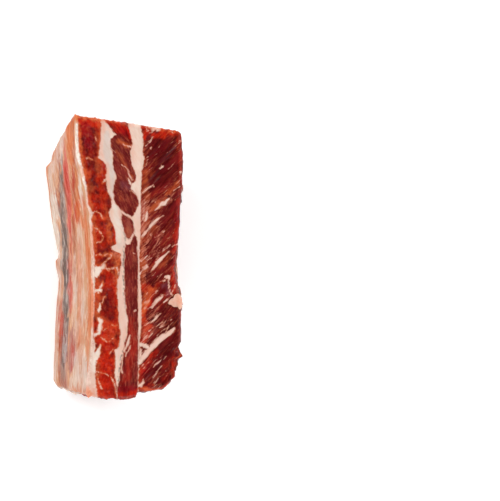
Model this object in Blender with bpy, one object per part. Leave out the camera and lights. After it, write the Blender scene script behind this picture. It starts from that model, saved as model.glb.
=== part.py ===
"""One raw beef short rib, cut between its neighbours, lying on one cut face with the layered cut face up.

Metres, +Z up. The rib bone runs along Y, the layers are stacked along X from the bone side (-X) to the outer
side (+X), and the part rests on its lower cut face. The origin is at the middle of the underside.

Every point is placed by three shares: u along the rib from the near end to the far end, v across one layer
from its bone side to its outer side, and w up through the part from the resting face to the upper cut face.
"""

import math

import bmesh
import bpy

MM = 0.001

# Driving dimensions
LENGTH = 150 * MM
HEIGHT = 52 * MM
GAP = 0.3 * MM
CENTRE_X = 1.08 * MM
CENTRE_Y = 0.15 * MM

# Where the upper cut face starts on the bone side, at even stations from the near end to the far end
TOP_EDGE = [x * MM for x in (-14.2, -13.4, -12.4, -11.6, -11.8, -11.8, -13.3, -16.3, -19.8, -20.8)]
# How far out the bone side bulges below that, at its own even stations, and the share of the height where it does
WIDEST = [x * MM for x in (-34.0, -34.4, -33.4, -31.4, -33.0, -36.0, -38.8)]
WIDEST_SHARE = 0.17
BONE_SIDE_CURVE = 1.25
TUCK_UNDER = 4 * MM
# A loose flap of tissue low on the bone side: its place along Y, reach and half length
BONE_SIDE_FLAP = (-6.0 * MM, 2.4 * MM, 7.0 * MM)

# The layers from the bone side outwards, in millimetres: thickness at even stations from the near end to the far
# end, on the upper cut face and on the resting face, and how much thicker the layer is at mid height
LAYERS = {
    "membrane": (
        (1.5, 1.4, 1.4, 1.4, 1.5, 1.6),
        (2.0, 1.8, 1.8, 2.0),
        -0.2,
    ),
    "bone_zone": (
        (14.3, 12.2, 14.2, 12.0, 12.4, 9.9, 9.4, 9.7, 10.3, 11.9),
        (13.0, 14.0, 12.6, 13.6, 14.4),
        1.6,
    ),
    "inner_fat": (
        (1.3, 3.6, 4.4, 5.1, 3.4, 6.0, 5.9, 5.4, 7.3, 2.5),
        (3.6, 4.6, 5.2, 3.2, 4.8),
        0.0,
    ),
    "middle_muscle": (
        (9.0, 8.8, 5.4, 5.6, 7.1, 6.6, 6.3, 8.4, 9.5, 12.4),
        (9.8, 8.0, 8.8, 9.4, 7.6),
        0.4,
    ),
    "outer_fat_seam": (
        (1.2, 1.2, 1.2, 2.1, 1.2, 2.0, 4.9, 5.5, 6.7, 6.5),
        (2.4, 3.0, 2.0, 2.8, 4.2),
        0.0,
    ),
    "outer_muscle": (
        (17.5, 19.8, 20.4, 20.0, 19.4, 19.4, 20.0, 21.6, 20.8, 21.0),
        (22.0, 24.0, 24.5, 24.0, 22.5),
        2.0,
    ),
}

# The rib bone inside its zone, in shares of the height: its middle, half its width, half of the flat side that
# the meat above and below leaves free, and the exponent of its flat oval section
BONE_CENTRE = 0.5
BONE_HALF = 0.32
BONE_FLANK = 0.25
BONE_OVAL = 3.0

# The saw cuts at the ends. The far one runs askew and leans under the part, less so at the outer side
FAR_END_SKEW = -0.163
FAR_END_LEAN = 0.66
FAR_END_LEAN_OUTER = 0.42
NEAR_END_LEAN = 0.11
# The near end steps back past the middle muscle: by how much, from which X and over what width
NEAR_END_STEP = 6.0 * MM
NEAR_END_STEP_FROM = 7 * MM
NEAR_END_STEP_OVER = 18 * MM
# Rounding of the upright corners: near end at the bone side and at the outer side, and far end
NEAR_CORNER_INNER = 4 * MM
NEAR_CORNER_OUTER = 12 * MM
FAR_CORNER = 2 * MM

# Shreds and a flap of fat that stick out of the outer side at the top: share of its length from the near end,
# reach, and half length as a share
SHREDS = [
    (0.05, 3.4 * MM, 0.03),
    (0.12, 1.2 * MM, 0.03),
    (0.28, 1.8 * MM, 0.035),
]

# Rounding of the cut faces' edges, which is tighter at the bone side
ROUND_EDGE = 2.4 * MM
ROUND_INNER_EDGE = 0.7 * MM
# Relief of the upper cut face: its swell, and ripples that run slightly askew, by this much of a turn a metre
SWELL = 0.9 * MM
RIPPLE = 0.45 * MM
RIPPLE_LENGTH = 31 * MM
RIPPLE_SKEW = 14.3
# The share of the height over which the relief fades out below the face
FACE_DEPTH = 0.25

# Faces along the rib, and up through the part
ALONG = 30
UP = 8

COLOURS = {
    "bone": (0.78, 0.60, 0.48, 1.0),
    "membrane": (0.74, 0.42, 0.30, 1.0),
    "fat": (0.86, 0.68, 0.57, 1.0),
    "rib_meat": (0.42, 0.06, 0.025, 1.0),
    "dark_meat": (0.25, 0.035, 0.025, 1.0),
    "outer_meat": (0.30, 0.03, 0.025, 1.0),
}
ROUGHNESS = {"bone": 0.5, "membrane": 0.35, "fat": 0.4, "rib_meat": 0.35, "dark_meat": 0.35, "outer_meat": 0.32}


def mix(a, b, share):
    return a + (b - a) * share


def smooth(share):
    held = min(max(share, 0.0), 1.0)
    return held * held * (3 - 2 * held)


def along(values, u):
    """The value at share u of the length: a smooth curve through evenly spaced stations."""
    last = len(values) - 1
    place = min(max(u, 0.0), 1.0) * last
    i = min(int(place), last - 1)
    t = place - i
    before = values[max(i - 1, 0)]
    after = values[min(i + 2, last)]
    start_slope = (values[i + 1] - before) / 2
    end_slope = (after - values[i]) / 2
    return (
        mix(values[i], values[i + 1], smooth(t))
        + start_slope * t * (1 - t) ** 2
        - end_slope * t * t * (1 - t)
    )


def face_share(w):
    """1 at the upper cut face, falling to 0 a short way below it."""
    return smooth((w - 1) / FACE_DEPTH + 1)


def bump(distance, half_width):
    return math.exp(-((distance / half_width) ** 2))


def rounded(distance, radius):
    """How far a face drops at this distance from its edge, so that the edge is a quarter circle."""
    inside = min(max(distance, 0.0), radius)
    return radius - math.sqrt(radius**2 - (radius - inside) ** 2)


def bone_side(u, w):
    """X of the bone side before it tucks under: it leans out from the upper edge to its widest."""
    rise = max(0.0, (w - WIDEST_SHARE) / (1 - WIDEST_SHARE))
    at, reach, half = BONE_SIDE_FLAP
    flap = reach * bump((u - 0.5) * LENGTH - at, half) * bump(w - WIDEST_SHARE, WIDEST_SHARE)
    return mix(along(WIDEST, u), along(TOP_EDGE, u), rise**BONE_SIDE_CURVE) - flap


def thickness(layer, u, w):
    top, base, belly = LAYERS[layer]
    flat = mix(along(base, u), along(top, u), w)
    return (flat + belly * math.sin(math.pi * w)) * MM


def shreds(u, w):
    """How far the shreds reach out of the outer side."""
    return sum(reach * bump(u - at, half) for at, reach, half in SHREDS) * w**3


def boundary(count, u, w):
    """X of the boundary past the first count layers. Near the underside both outer faces tuck in."""
    tuck = max(0.0, (WIDEST_SHARE - w) / WIDEST_SHARE) ** 2
    x = bone_side(u, w) + TUCK_UNDER * tuck * (1 - 2 * count / len(LAYERS))
    x += sum(thickness(name, u, w) for name in list(LAYERS)[:count])
    return x + shreds(u, w) if count == len(LAYERS) else x


def near_end(x, w, inner, outer):
    """Y of the near end at this X and height, this far from the bone side and from the outer side."""
    step = smooth((x - NEAR_END_STEP_FROM) / NEAR_END_STEP_OVER)
    back = NEAR_END_STEP * step + NEAR_END_LEAN * (1 - w) * HEIGHT
    corners = rounded(inner, NEAR_CORNER_INNER) + rounded(outer, NEAR_CORNER_OUTER)
    return -LENGTH / 2 + back + corners


def far_end(x, w, inner, outer):
    lean = mix(FAR_END_LEAN, FAR_END_LEAN_OUTER, inner / (inner + outer))
    corners = rounded(inner, FAR_CORNER) + rounded(outer, FAR_CORNER)
    return LENGTH / 2 + FAR_END_SKEW * (x - TOP_EDGE[-1]) - lean * (1 - w) * HEIGHT - corners


def relief(x, y, u, inner, outer):
    """Height of the upper cut face over its flat plane: a slight swell and ripples across the grain."""
    share = inner / (inner + outer)
    swell = SWELL * math.sin(math.pi * share)
    ripple = RIPPLE * math.sin(2 * math.pi * (y / RIPPLE_LENGTH + RIPPLE_SKEW * x))
    return (swell + ripple) * math.sin(math.pi * u)


def place(x, u, w):
    """The point of the part at this X, share of the length and share of the height."""
    inner = x - boundary(0, u, w)
    outer = boundary(len(LAYERS), u, w) - x
    y = mix(near_end(x, w, inner, outer), far_end(x, w, inner, outer), u)
    drop = max(
        rounded(inner, ROUND_INNER_EDGE),
        rounded(min(outer, u * LENGTH, (1 - u) * LENGTH), ROUND_EDGE),
    )
    rise = relief(x, y, u, inner, outer) - drop
    z = w * HEIGHT + rise * face_share(w) + drop * face_share(1 - w)
    return (x + CENTRE_X, y + CENTRE_Y, z)


def layer_point(first, last, u, v, w):
    """The point at shares u, v, w of the layers from number first up to number last."""
    low = boundary(first, u, w) + (GAP / 2 if first > 0 else 0)
    high = boundary(last, u, w) - (GAP / 2 if last < len(LAYERS) else 0)
    return place(mix(low, high, v), u, w)


def whole_layer(number):
    return lambda u, v, w: layer_point(number, number + 1, u, v, w)


def bone_reach(v):
    """Half the bone's width, as a share of the height, at this share of its thickness."""
    oval = (1 - min(abs(2 * v - 1), 1.0) ** BONE_OVAL) ** (1 / BONE_OVAL)
    return max(BONE_HALF * oval, BONE_FLANK)


def bone_point(u, v, w):
    reach = bone_reach(v) - GAP / 2 / HEIGHT
    return layer_point(1, 2, u, v, mix(BONE_CENTRE - reach, BONE_CENTRE + reach, w))


def meat_above_bone(u, v, w):
    return layer_point(1, 2, u, v, mix(BONE_CENTRE + bone_reach(v) + GAP / 2 / HEIGHT, 1.0, w))


def meat_below_bone(u, v, w):
    return layer_point(1, 2, u, v, mix(0.0, BONE_CENTRE - bone_reach(v) - GAP / 2 / HEIGHT, w))


def material(name):
    made = bpy.data.materials.get(name)
    if made is None:
        made = bpy.data.materials.new(name)
        made.use_nodes = True
        shader = made.node_tree.nodes["Principled BSDF"]
        shader.inputs["Base Color"].default_value = COLOURS[name]
        shader.inputs["Roughness"].default_value = ROUGHNESS[name]
        shader.inputs["Metallic"].default_value = 0.0
    return made


def cut_across(form, axis, faces):
    """Cuts every edge that runs along this axis into this many equal pieces."""
    if faces > 1:
        edges = [e for e in form.edges if abs((e.verts[1].co - e.verts[0].co)[axis]) > 1e-6]
        bmesh.ops.subdivide_edges(form, edges=edges, cuts=faces - 1, use_grid_fill=True)


def split_quads(form):
    """Splits every face from its lowest corner to its highest, so that layers that meet split alike."""
    for face in list(form.faces):
        corners = sorted(face.verts, key=lambda vertex: sum(vertex.co))
        bmesh.utils.face_split(face, corners[0], corners[-1])


def layer(name, point, faces, finish, collection):
    """A cube cut into faces[0] by faces[1] by faces[2] and bent into a layer by point(u, v, w)."""
    form = bmesh.new()
    bmesh.ops.create_cube(form, size=1.0)
    for axis, count in enumerate(faces):
        cut_across(form, axis, count)
    split_quads(form)
    for vertex in form.verts:
        v, u, w = (c + 0.5 for c in vertex.co)
        vertex.co = point(u, v, w)
    mesh = bpy.data.meshes.new(name)
    form.to_mesh(mesh)
    form.free()
    mesh.materials.append(material(finish))
    mesh.shade_smooth()
    mesh.set_sharp_from_angle(angle=math.radians(40))
    collection.objects.link(bpy.data.objects.new(name, mesh))


def clear_scene():
    for obj in list(bpy.data.objects):
        bpy.data.objects.remove(obj, do_unlink=True)


def main():
    clear_scene()
    rib = bpy.data.collections.new("beef_short_rib")
    bpy.context.scene.collection.children.link(rib)
    layer("bone_side_membrane", whole_layer(0), (1, ALONG, UP), "membrane", rib)
    layer("rib_bone", bone_point, (6, ALONG, 4), "bone", rib)
    layer("rib_meat_upper", meat_above_bone, (6, ALONG, 2), "rib_meat", rib)
    layer("rib_meat_lower", meat_below_bone, (6, ALONG, 2), "rib_meat", rib)
    layer("inner_fat", whole_layer(2), (1, ALONG, UP), "fat", rib)
    layer("middle_muscle", whole_layer(3), (2, ALONG, UP), "dark_meat", rib)
    layer("outer_fat_seam", whole_layer(4), (1, ALONG, UP), "fat", rib)
    layer("outer_muscle", whole_layer(5), (6, ALONG, UP), "outer_meat", rib)


main()
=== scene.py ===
"""One raw beef short rib, dressed: skin, sawn bone, rib meat, fat, dark muscle, seam and outer muscle.

Shapes are worked out in millimetres, in the frame of the solids, and put into the meshes in metres. Every
point of a piece has three shares: u along the rib from the near end, v across its layer from the bone side,
w up from the resting face. Each piece carries what its finish needs as attributes of its points: how far
inside white tissue the point lies, the colours of its meat and of its fat, and the course of its fibres.
"""

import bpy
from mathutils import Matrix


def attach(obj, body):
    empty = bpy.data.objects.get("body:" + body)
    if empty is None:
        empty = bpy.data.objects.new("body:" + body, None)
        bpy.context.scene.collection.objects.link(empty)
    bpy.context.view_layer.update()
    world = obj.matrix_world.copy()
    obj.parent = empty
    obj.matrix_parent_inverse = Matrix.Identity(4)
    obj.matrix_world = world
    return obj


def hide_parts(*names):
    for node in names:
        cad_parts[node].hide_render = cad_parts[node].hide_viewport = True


bl_info = {
    "name": "Raw Beef Short Rib",
    "version": (1, 0, 0),
    "blender": (4, 5, 0),
    "location": "View3D > Sidebar > Short Rib",
    "description": "Builds a raw beef short rib with marbled meat, fat, skin and sawn bone",
    "category": "Add Mesh",
}

import math

import bpy
import numpy as np
from mathutils import Vector

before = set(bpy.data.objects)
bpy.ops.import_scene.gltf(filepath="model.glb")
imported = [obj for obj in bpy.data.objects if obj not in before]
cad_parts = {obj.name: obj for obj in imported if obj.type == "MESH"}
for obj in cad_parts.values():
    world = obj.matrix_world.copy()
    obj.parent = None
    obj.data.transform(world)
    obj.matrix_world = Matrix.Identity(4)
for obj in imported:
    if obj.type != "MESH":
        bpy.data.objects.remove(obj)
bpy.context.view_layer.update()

MM = 0.001

# Driving dimensions, in millimetres, the same as in the solids
LENGTH = 150.0
HEIGHT = 52.0
CENTRE_X = 1.08
CENTRE_Y = 0.15
LAYER_COUNT = 6

# Where the upper cut face starts on the bone side, at even stations from the near end to the far end
TOP_EDGE = (-14.2, -13.4, -12.4, -11.6, -11.8, -11.8, -13.3, -16.3, -19.8, -20.8)
# How far out the bone side bulges below that, at its own even stations, and the share of the height where
# it does
WIDEST = (-34.0, -34.4, -33.4, -31.4, -33.0, -36.0, -38.8)
WIDEST_SHARE = 0.17
BONE_SIDE_CURVE = 1.25
TUCK_UNDER = 4.0
# A loose flap of tissue low on the bone side: its place along Y, reach and half length
BONE_SIDE_FLAP = (-6.0, 2.4, 7.0)

# Thickness of the layers from the bone side outwards: at even stations on the upper cut face, at even
# stations on the resting face, and how much thicker the layer is at mid height
LAYERS = (
    ((1.5, 1.4, 1.4, 1.4, 1.5, 1.6), (2.0, 1.8, 1.8, 2.0), -0.2),
    ((14.3, 12.2, 14.2, 12.0, 12.4, 9.9, 9.4, 9.7, 10.3, 11.9), (13.0, 14.0, 12.6, 13.6, 14.4), 1.6),
    ((1.3, 3.6, 4.4, 5.1, 3.4, 6.0, 5.9, 5.4, 7.3, 2.5), (3.6, 4.6, 5.2, 3.2, 4.8), 0.0),
    ((9.0, 8.8, 5.4, 5.6, 7.1, 6.6, 6.3, 8.4, 9.5, 12.4), (9.8, 8.0, 8.8, 9.4, 7.6), 0.4),
    ((1.2, 1.2, 1.2, 2.1, 1.2, 2.0, 4.9, 5.5, 6.7, 6.5), (2.4, 3.0, 2.0, 2.8, 4.2), 0.0),
    ((17.5, 19.8, 20.4, 20.0, 19.4, 19.4, 20.0, 21.6, 20.8, 21.0), (22.0, 24.0, 24.5, 24.0, 22.5), 2.0),
)

# The rib bone in its zone, in shares of the height
BONE_CENTRE = 0.5
BONE_HALF = 0.32
BONE_FLANK = 0.25
BONE_OVAL = 3.0

# The saw cuts at the ends, and the rounding of the upright corners
FAR_END_SKEW = -0.163
FAR_END_LEAN = 0.66
FAR_END_LEAN_OUTER = 0.42
NEAR_END_LEAN = 0.11
NEAR_END_STEP = 6.0
NEAR_END_STEP_FROM = 7.0
NEAR_END_STEP_OVER = 18.0
NEAR_CORNER_INNER = 4.0
NEAR_CORNER_OUTER = 12.0
FAR_CORNER = 2.0

# Shreds of the outer side at the top: share of the length, reach, and half length as a share
SHREDS = ((0.05, 3.4, 0.03), (0.12, 1.2, 0.03), (0.28, 1.8, 0.035))

# Rounding of the cut faces' edges, and the relief of the upper cut face
ROUND_EDGE = 2.4
ROUND_INNER_EDGE = 0.7
SWELL = 0.9
RIPPLE = 0.45
RIPPLE_LENGTH = 31.0
RIPPLE_SKEW = 0.0143
FACE_DEPTH = 0.25

# The photograph's frame: its middle, the pixel over the rib's own middle, a pixel's size on the upper cut
# face, and how far above that face the camera is
PHOTO_SIZE = (500, 501)
PHOTO_MIDDLE = (250.0, 250.5)
RIB_PIXEL = (114.5, 257.0)
PIXEL = 0.5263
CAMERA_OVER = 1350.0
SENSOR = 36.0

# Edges of the tissues on the upper cut face, as (x, y) pixels of the photograph from the far end to the
# near end
CUT_EDGE = (
    (75.5, 116), (75.2, 122), (75.2, 140), (75.7, 156), (79.3, 166), (81.3, 176), (84.6, 187), (85.6, 197),
    (87.2, 207), (89.6, 213), (89.7, 222), (89.8, 238), (91.4, 252), (91.8, 263), (91.4, 280), (91.8, 300),
    (90.8, 340), (90.2, 352), (88.2, 370), (86, 390), (85, 400),
)
RIB_MEAT_EDGE = (
    (77.8, 118), (78.3, 139), (78.9, 150), (80.6, 160), (82.3, 167), (83.8, 174), (84.9, 180), (86.9, 187),
    (87.2, 197), (88.4, 205), (92.6, 212), (92.7, 215), (91, 219), (92.8, 224), (92.3, 233), (93.3, 243),
    (94.1, 253), (95, 263), (95, 280), (94.9, 290), (94.6, 303), (94.4, 311), (93.3, 320), (93.3, 334),
    (93.7, 345), (95.6, 355), (95.2, 372), (95.4, 382), (96.6, 390), (98, 400),
)
INNER_FAT_EDGE = (
    (100.2, 118), (101.7, 125), (101.2, 136), (99.7, 146), (99.2, 153), (98.7, 158), (103.3, 161),
    (106.3, 166), (107, 172), (105.8, 179), (107.2, 185), (107.9, 192), (111.4, 199), (112, 205),
    (109.2, 212), (110, 219), (113.5, 225), (116, 236), (116, 244), (110.8, 247), (113.5, 251),
    (121, 253.5), (120.6, 258), (122, 264), (120.8, 269), (119.6, 276), (117.6, 280), (117, 291),
    (118, 301), (118.6, 311), (118.6, 321), (120.6, 331), (120.6, 339), (119, 346), (115, 350),
    (115.5, 360), (115, 370), (115.5, 379), (117, 387), (117.3, 400),
)
MIDDLE_EDGE = (
    (104.5, 118), (105.3, 121), (108.8, 126), (112.8, 131), (116.4, 134.6), (110.8, 139), (110.9, 148),
    (113.2, 156), (113, 162), (113.9, 170), (117, 176), (116.4, 179), (114.1, 186), (113.7, 194),
    (115.2, 202), (119, 207), (121.6, 211), (121.7, 215), (121.2, 220), (123.2, 227), (125.7, 235),
    (126.5, 240), (125.2, 248), (124.8, 262), (124.8, 275), (124.8, 286), (125.2, 296), (126.2, 307),
    (127.8, 317), (128.3, 325), (127.8, 335), (125.2, 342), (123.7, 350), (121.6, 360), (120.6, 370),
    (119.6, 381), (117.6, 387), (117.6, 400),
)
SEAM_EDGE = (
    (127.8, 118), (127.9, 123), (129.6, 130), (132, 140), (132.4, 146), (130.4, 151), (130.8, 156),
    (131.3, 162), (133.9, 170), (135.9, 176), (134.9, 182), (131.5, 184.5), (130.8, 189), (135.6, 193),
    (137.8, 197), (139, 204), (136.9, 209), (134.4, 214), (131.8, 217.5), (133.4, 223), (134.5, 231),
    (135.3, 235), (137.5, 241), (138.4, 264), (138.2, 300), (138.4, 340), (138.6, 360), (138.2, 380),
    (138, 400),
)
OUTER_EDGE = (
    (140.3, 118), (140.5, 125), (142, 132), (143.6, 140), (143, 150), (144.6, 158), (143, 168),
    (141.5, 176), (141.2, 187), (140.9, 197), (141.2, 207), (140.9, 217), (141.2, 227), (140.6, 238),
    (140, 248), (139.8, 264), (140.2, 275), (141.2, 292), (141.6, 305), (141.6, 322), (141.2, 329),
    (139.8, 336), (139.9, 346), (139.4, 362), (138.7, 380), (138.2, 400),
)
EDGES = (CUT_EDGE, RIB_MEAT_EDGE, INNER_FAT_EDGE, MIDDLE_EDGE, SEAM_EDGE, OUTER_EDGE)
# The outline beyond those edges: of the outer side, of the bone side, and of the near end
RIGHT_EDGE = (
    (181, 128), (181.9, 134), (182.2, 148), (182.8, 165), (182.7, 186), (180.9, 197), (180.2, 203),
    (179.7, 220), (178.5, 239), (176.6, 260), (175.5, 271), (176.3, 279), (177.6, 285), (179.6, 292),
    (180.6, 300), (181.3, 310), (181.3, 324), (180, 344), (178, 350), (181.8, 355), (174.8, 361),
    (173.2, 366.5), (177.6, 371), (177, 377), (175, 384), (172, 390),
)
BONE_SIDE_OUTLINE = (
    (71.6, 116), (66.5, 126), (61.4, 137), (58.4, 145), (54.4, 155), (50.7, 161), (46.4, 167), (46.6, 175),
    (48.6, 188), (50, 200), (51.2, 210), (52.8, 222), (54.8, 234), (56.8, 246), (58.6, 254), (58, 258),
    (55, 261), (55.6, 267), (57.4, 273), (59, 279), (59, 290), (58, 300), (56.4, 316), (55.2, 332),
    (55, 350), (54.2, 362), (54, 378), (56, 384), (60, 388),
)
NEAR_OUTLINE = (
    (60, 388), (66, 389.5), (72, 391.5), (76, 391.4), (80, 391.8), (84, 392.8), (88, 396), (92, 396),
    (98, 397.7), (104, 397.9), (114, 398.2), (120, 399.3), (126, 399.4), (132, 398.4), (135.8, 396.8),
    (138.2, 390.8), (144, 391.2), (150, 391), (156, 390.2), (162, 389.2), (166, 386.8), (170, 382),
    (174, 377.4), (178, 372),
)
# Pixel x from which the near end follows its outline, of the heel beside that, and of the shreds that hang
# from it, as middle and half width
NEAR_OUTLINE_FROM = 74
HEEL = 59.6
NEAR_SHREDS = ((88.6, 1.3), (107, 1.5), (141, 3))
# Pixel x of the far end's drawn-out tip, and of the dip beside it
FAR_TIP = 77.6
FAR_DIP = 95
# Pixel y from which the outer side is torn
TORN_SIDE_FROM = 335

# Streaks of white tissue on the upper cut face. Each is a line of (x, y, half width) pixels of the
# photograph
# The short dots at (153.6, 186) and (172.3, 132.8) are painted highlights as well as specks of white fat
OUTER_STREAKS = (
    ((152.8, 136.6, 0.5), (149.2, 142.8, 0.9), (145.6, 146.5, 0.4)),
    ((150.8, 127.6, 1.5), (158.4, 129.4, 1.7)), ((154.5, 129.6, 1.7), (150, 132.4, 0.9)),
    ((162.4, 166.2, 1), (159.9, 169.3, 0.7)), ((151.2, 148, 0.5), (151, 150, 0.5)),
    ((150.8, 168, 0.2), (146, 174.4, 0.3)), ((153.6, 186, 0.9), (154, 187, 0.8)),
    ((150.6, 186.6, 0.6), (146.6, 189.7, 1), (142.6, 193, 0.9)), ((180.3, 186.6, 0.4), (173.7, 190, 0.3)),
    ((181.8, 141.5, 1), (179.4, 143, 0.6)), ((182.4, 171.8, 1.5), (181.4, 174, 0.8)),
    ((181.6, 180.5, 0.3), (176, 183.6, 0.3)), ((172.3, 132.8, 0.7), (173.2, 133.4, 0.6)),
    ((170.4, 198, 0.9), (164, 203.2, 2.1), (159.6, 207, 1.1), (155, 210.6, 0.3)),
    ((147.6, 209.6, 0.5), (146.8, 216, 1.1), (145.8, 221, 0.6)), ((144.4, 207, 0.3), (143.2, 220, 0.6)),
    ((164, 215.2, 0.5), (154.3, 222, 1.4), (148.2, 228.9, 1.2), (142, 237, 1.3)),
    ((165.2, 231, 0.7), (163.6, 232.2, 0.3)), ((160, 233.6, 0.2), (155.6, 237.6, 0.5)),
    ((169.6, 245.6, 0.2), (161.4, 251.4, 0.5)), ((178, 243.6, 0.7), (171.6, 246.6, 0.7)),
    ((168.4, 251.6, 0.5), (157.3, 263.4, 1.9), (149.7, 272.4, 0.5)), ((148.4, 255.6, 0.6), (141.2, 262, 1)),
    ((146.6, 266.8, 0.8), (140.6, 273.4, 1.3)), ((165.4, 277, 1.4), (168.6, 276.8, 2.2), (169.6, 279, 1.2)),
    ((165, 279.6, 1), (159.4, 281.8, 0.3)), ((168.9, 281, 0.5), (169.2, 290.8, 0.6), (172.1, 295.4, 0.7)),
    ((176.9, 284.6, 0.5), (172.7, 291, 0.4)), ((171.6, 296.2, 0.7), (164.5, 302.2, 0.8)),
    ((157.3, 290.8, 0.3), (150.2, 297, 0.3), (145.2, 303, 0.6)),
    ((163.4, 294.8, 1), (158, 300, 1.9), (151, 306.8, 0.8)),
    ((160.6, 313.2, 0.7), (152.2, 321.4, 0.8), (145, 324.8, 0.2)),
    ((171.8, 319.2, 0.2), (160.4, 327.6, 0.3)), ((168.8, 325.4, 0.2), (157.3, 335.9, 0.4)),
    ((163, 321.2, 0.2), (150.2, 331.6, 0.3)), ((156, 331.6, 0.3), (146.2, 338.6, 0.3)),
    ((174.2, 328.8, 1.3), (168, 333.4, 2.7), (162, 337.2, 2.9), (152.2, 347, 2.5), (146, 354, 2.7),
     (139.6, 362.6, 1.5)),
    ((141.2, 344.6, 2.1), (147.1, 346, 2.1), (150.6, 348.2, 1.4)), ((140.6, 349, 0.8), (141, 356, 0.7)),
    ((166.5, 356, 0.2), (158.4, 362.4, 0.6), (153.6, 366.8, 0.2)),
    ((162.4, 366.3, 0.2), (156.6, 371.6, 0.5), (153, 376.8, 0.5)),
    ((160.4, 376.3, 0.2), (156.4, 380.4, 0.5), (154, 384.2, 0.3)), ((165.5, 370.2, 0.5), (165.7, 371, 0.5)),
    ((143.8, 379, 0.8), (143, 383.4, 2.2), (140.6, 388, 2.2)),
)
# Fainter and broken lines between the fibre bundles of the outer muscle
OUTER_LINES = (
    ((166, 139), (158, 148)), ((176, 146), (166.5, 154)), ((161, 150), (150, 160)),
    ((178, 160), (168, 169)), ((160, 172), (148, 183)), ((179, 176), (164, 187)), ((172, 186), (160, 195)),
    ((158, 193), (145, 204)), ((163, 208), (152, 218)), ((176, 222), (160, 233)), ((158, 226), (146, 240)),
    ((176, 232), (164, 241)), ((156, 240), (143, 253)), ((175, 256), (164, 266)), ((160, 250), (150, 261)),
    ((174, 266), (158, 277)), ((156, 272), (144, 285)), ((176, 309), (164, 317)), ((174, 313), (156, 330)),
    ((178, 318), (166, 330)), ((162, 303), (146, 316)), ((154, 323), (143, 334)), ((174, 342), (160, 352)),
    ((168, 350), (150, 366)), ((160, 352), (143, 368)), ((172, 358), (158, 373)), ((150, 368), (142, 377)),
    ((168, 374), (152, 388)),
)
# Where the outer muscle is plain and dark, as lines of (x, y, half width) pixels
PLAIN_AREAS = (
    ((160, 146, 10), (170, 160, 9), (160, 180, 10)), ((172, 336, 4), (166, 352, 5), (150, 372, 5)),
    ((174, 206, 2), (168, 216, 2.5)), ((178, 204, 2.5), (177, 222, 2.5)),
    ((158, 290, 1.6), (167, 284, 1.6)),
)
# Where its fibres show most, pale against dark
BUSY_AREAS = (
    ((147, 188, 2), (146, 210, 5), (145, 238, 5), (145, 262, 3), (145, 284, 2)),
    ((158, 214, 2), (160, 232, 2.4), (156, 252, 3)), ((172, 196, 3), (160, 204, 3)),
    ((158, 310, 3), (148, 326, 5), (146, 338, 3)), ((152, 360, 3), (144, 372, 3)),
)
MIDDLE_STREAKS = (
    ((119, 210.5, 1.6), (126, 214, 1), (131, 217.4, 0.7), (134.6, 221.6, 1)),
    ((123.6, 238, 1.8), (128.2, 242.2, 2.2), (131.6, 239.6, 1.2), (134.8, 233, 0.5), (134.6, 226, 0.4)),
    ((124, 144.6, 0.2), (127.4, 145.6, 0.5), (131.4, 147.8, 1)), ((111.4, 148.9, 0.3), (115.6, 153, 0.2)),
    ((122.6, 164.4, 0.1), (126.6, 168.3, 0.4), (129.8, 174.4, 0.5), (133.6, 180.6, 0.4)),
    ((129, 178, 0.5), (131, 183.6, 1.2)), ((129.8, 191.7, 0.4), (132, 191.2, 0.3), (135.9, 194, 0.4)),
    ((134.4, 311, 0.4), (136.4, 310, 0.3)), ((133, 252.5, 0.4), (135, 253.6, 0.3)),
    ((125, 352, 0.8), (127.4, 343, 1.4), (130.6, 336, 1)), ((131, 346, 0.3), (126.6, 356, 0.5)),
    ((123.4, 352, 0.4), (122.6, 362, 0.6), (123, 373, 0.8)), ((115.8, 386, 0.3), (116.8, 396, 0.1)),
)
# Bits of fat in the rib meat, and the thin veins between its lobes
RIB_MEAT_BITS = (
    ((90.4, 209.6, 0.5), (92.6, 213.4, 1.7)), ((86.6, 158.2, 0.3), (89.4, 158, 0.6), (91.4, 160, 0.2)),
    ((105.4, 179.6, 0.9), (103.2, 182.6, 0.5)), ((94.6, 266, 1.2), (99.2, 269.6, 3), (97, 275, 3)),
    ((100.4, 268, 2.2), (105.4, 265.4, 1.6)), ((104, 264, 1), (108.6, 259, 0.6), (112.6, 254.8, 0.8)),
    ((104.6, 267.6, 0.6), (110.6, 268.6, 0.5), (117, 268.4, 1)),
    ((103.2, 281.6, 0.6), (101.8, 285.4, 1.1), (99.8, 288.6, 0.8)), ((94.4, 289.6, 1.8), (100.6, 291, 2)),
    ((99.2, 288.4, 0.8), (98, 293.4, 0.8)), ((100.2, 304, 0.9), (99.4, 308.6, 1.8), (98.4, 313.6, 0.5)),
    ((105.6, 296, 0.2), (102, 303, 0.5)),
    ((99.8, 318.4, 1.6), (101.4, 321.6, 1.8), (99.8, 328.4, 2), (99.4, 332.4, 1.6), (94.6, 335.4, 1.6)),
    ((93.6, 338, 1.2), (94, 350, 1.5)), ((100.2, 344.6, 0.9), (98.8, 351, 2.6), (95.4, 358, 2.4)),
    ((94.6, 358, 2.2), (94, 376, 2), (94, 390, 2.2)),
    ((117.4, 267, 0.4), (118.6, 273, 0.9), (117.8, 277, 0.2)),
)
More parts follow.
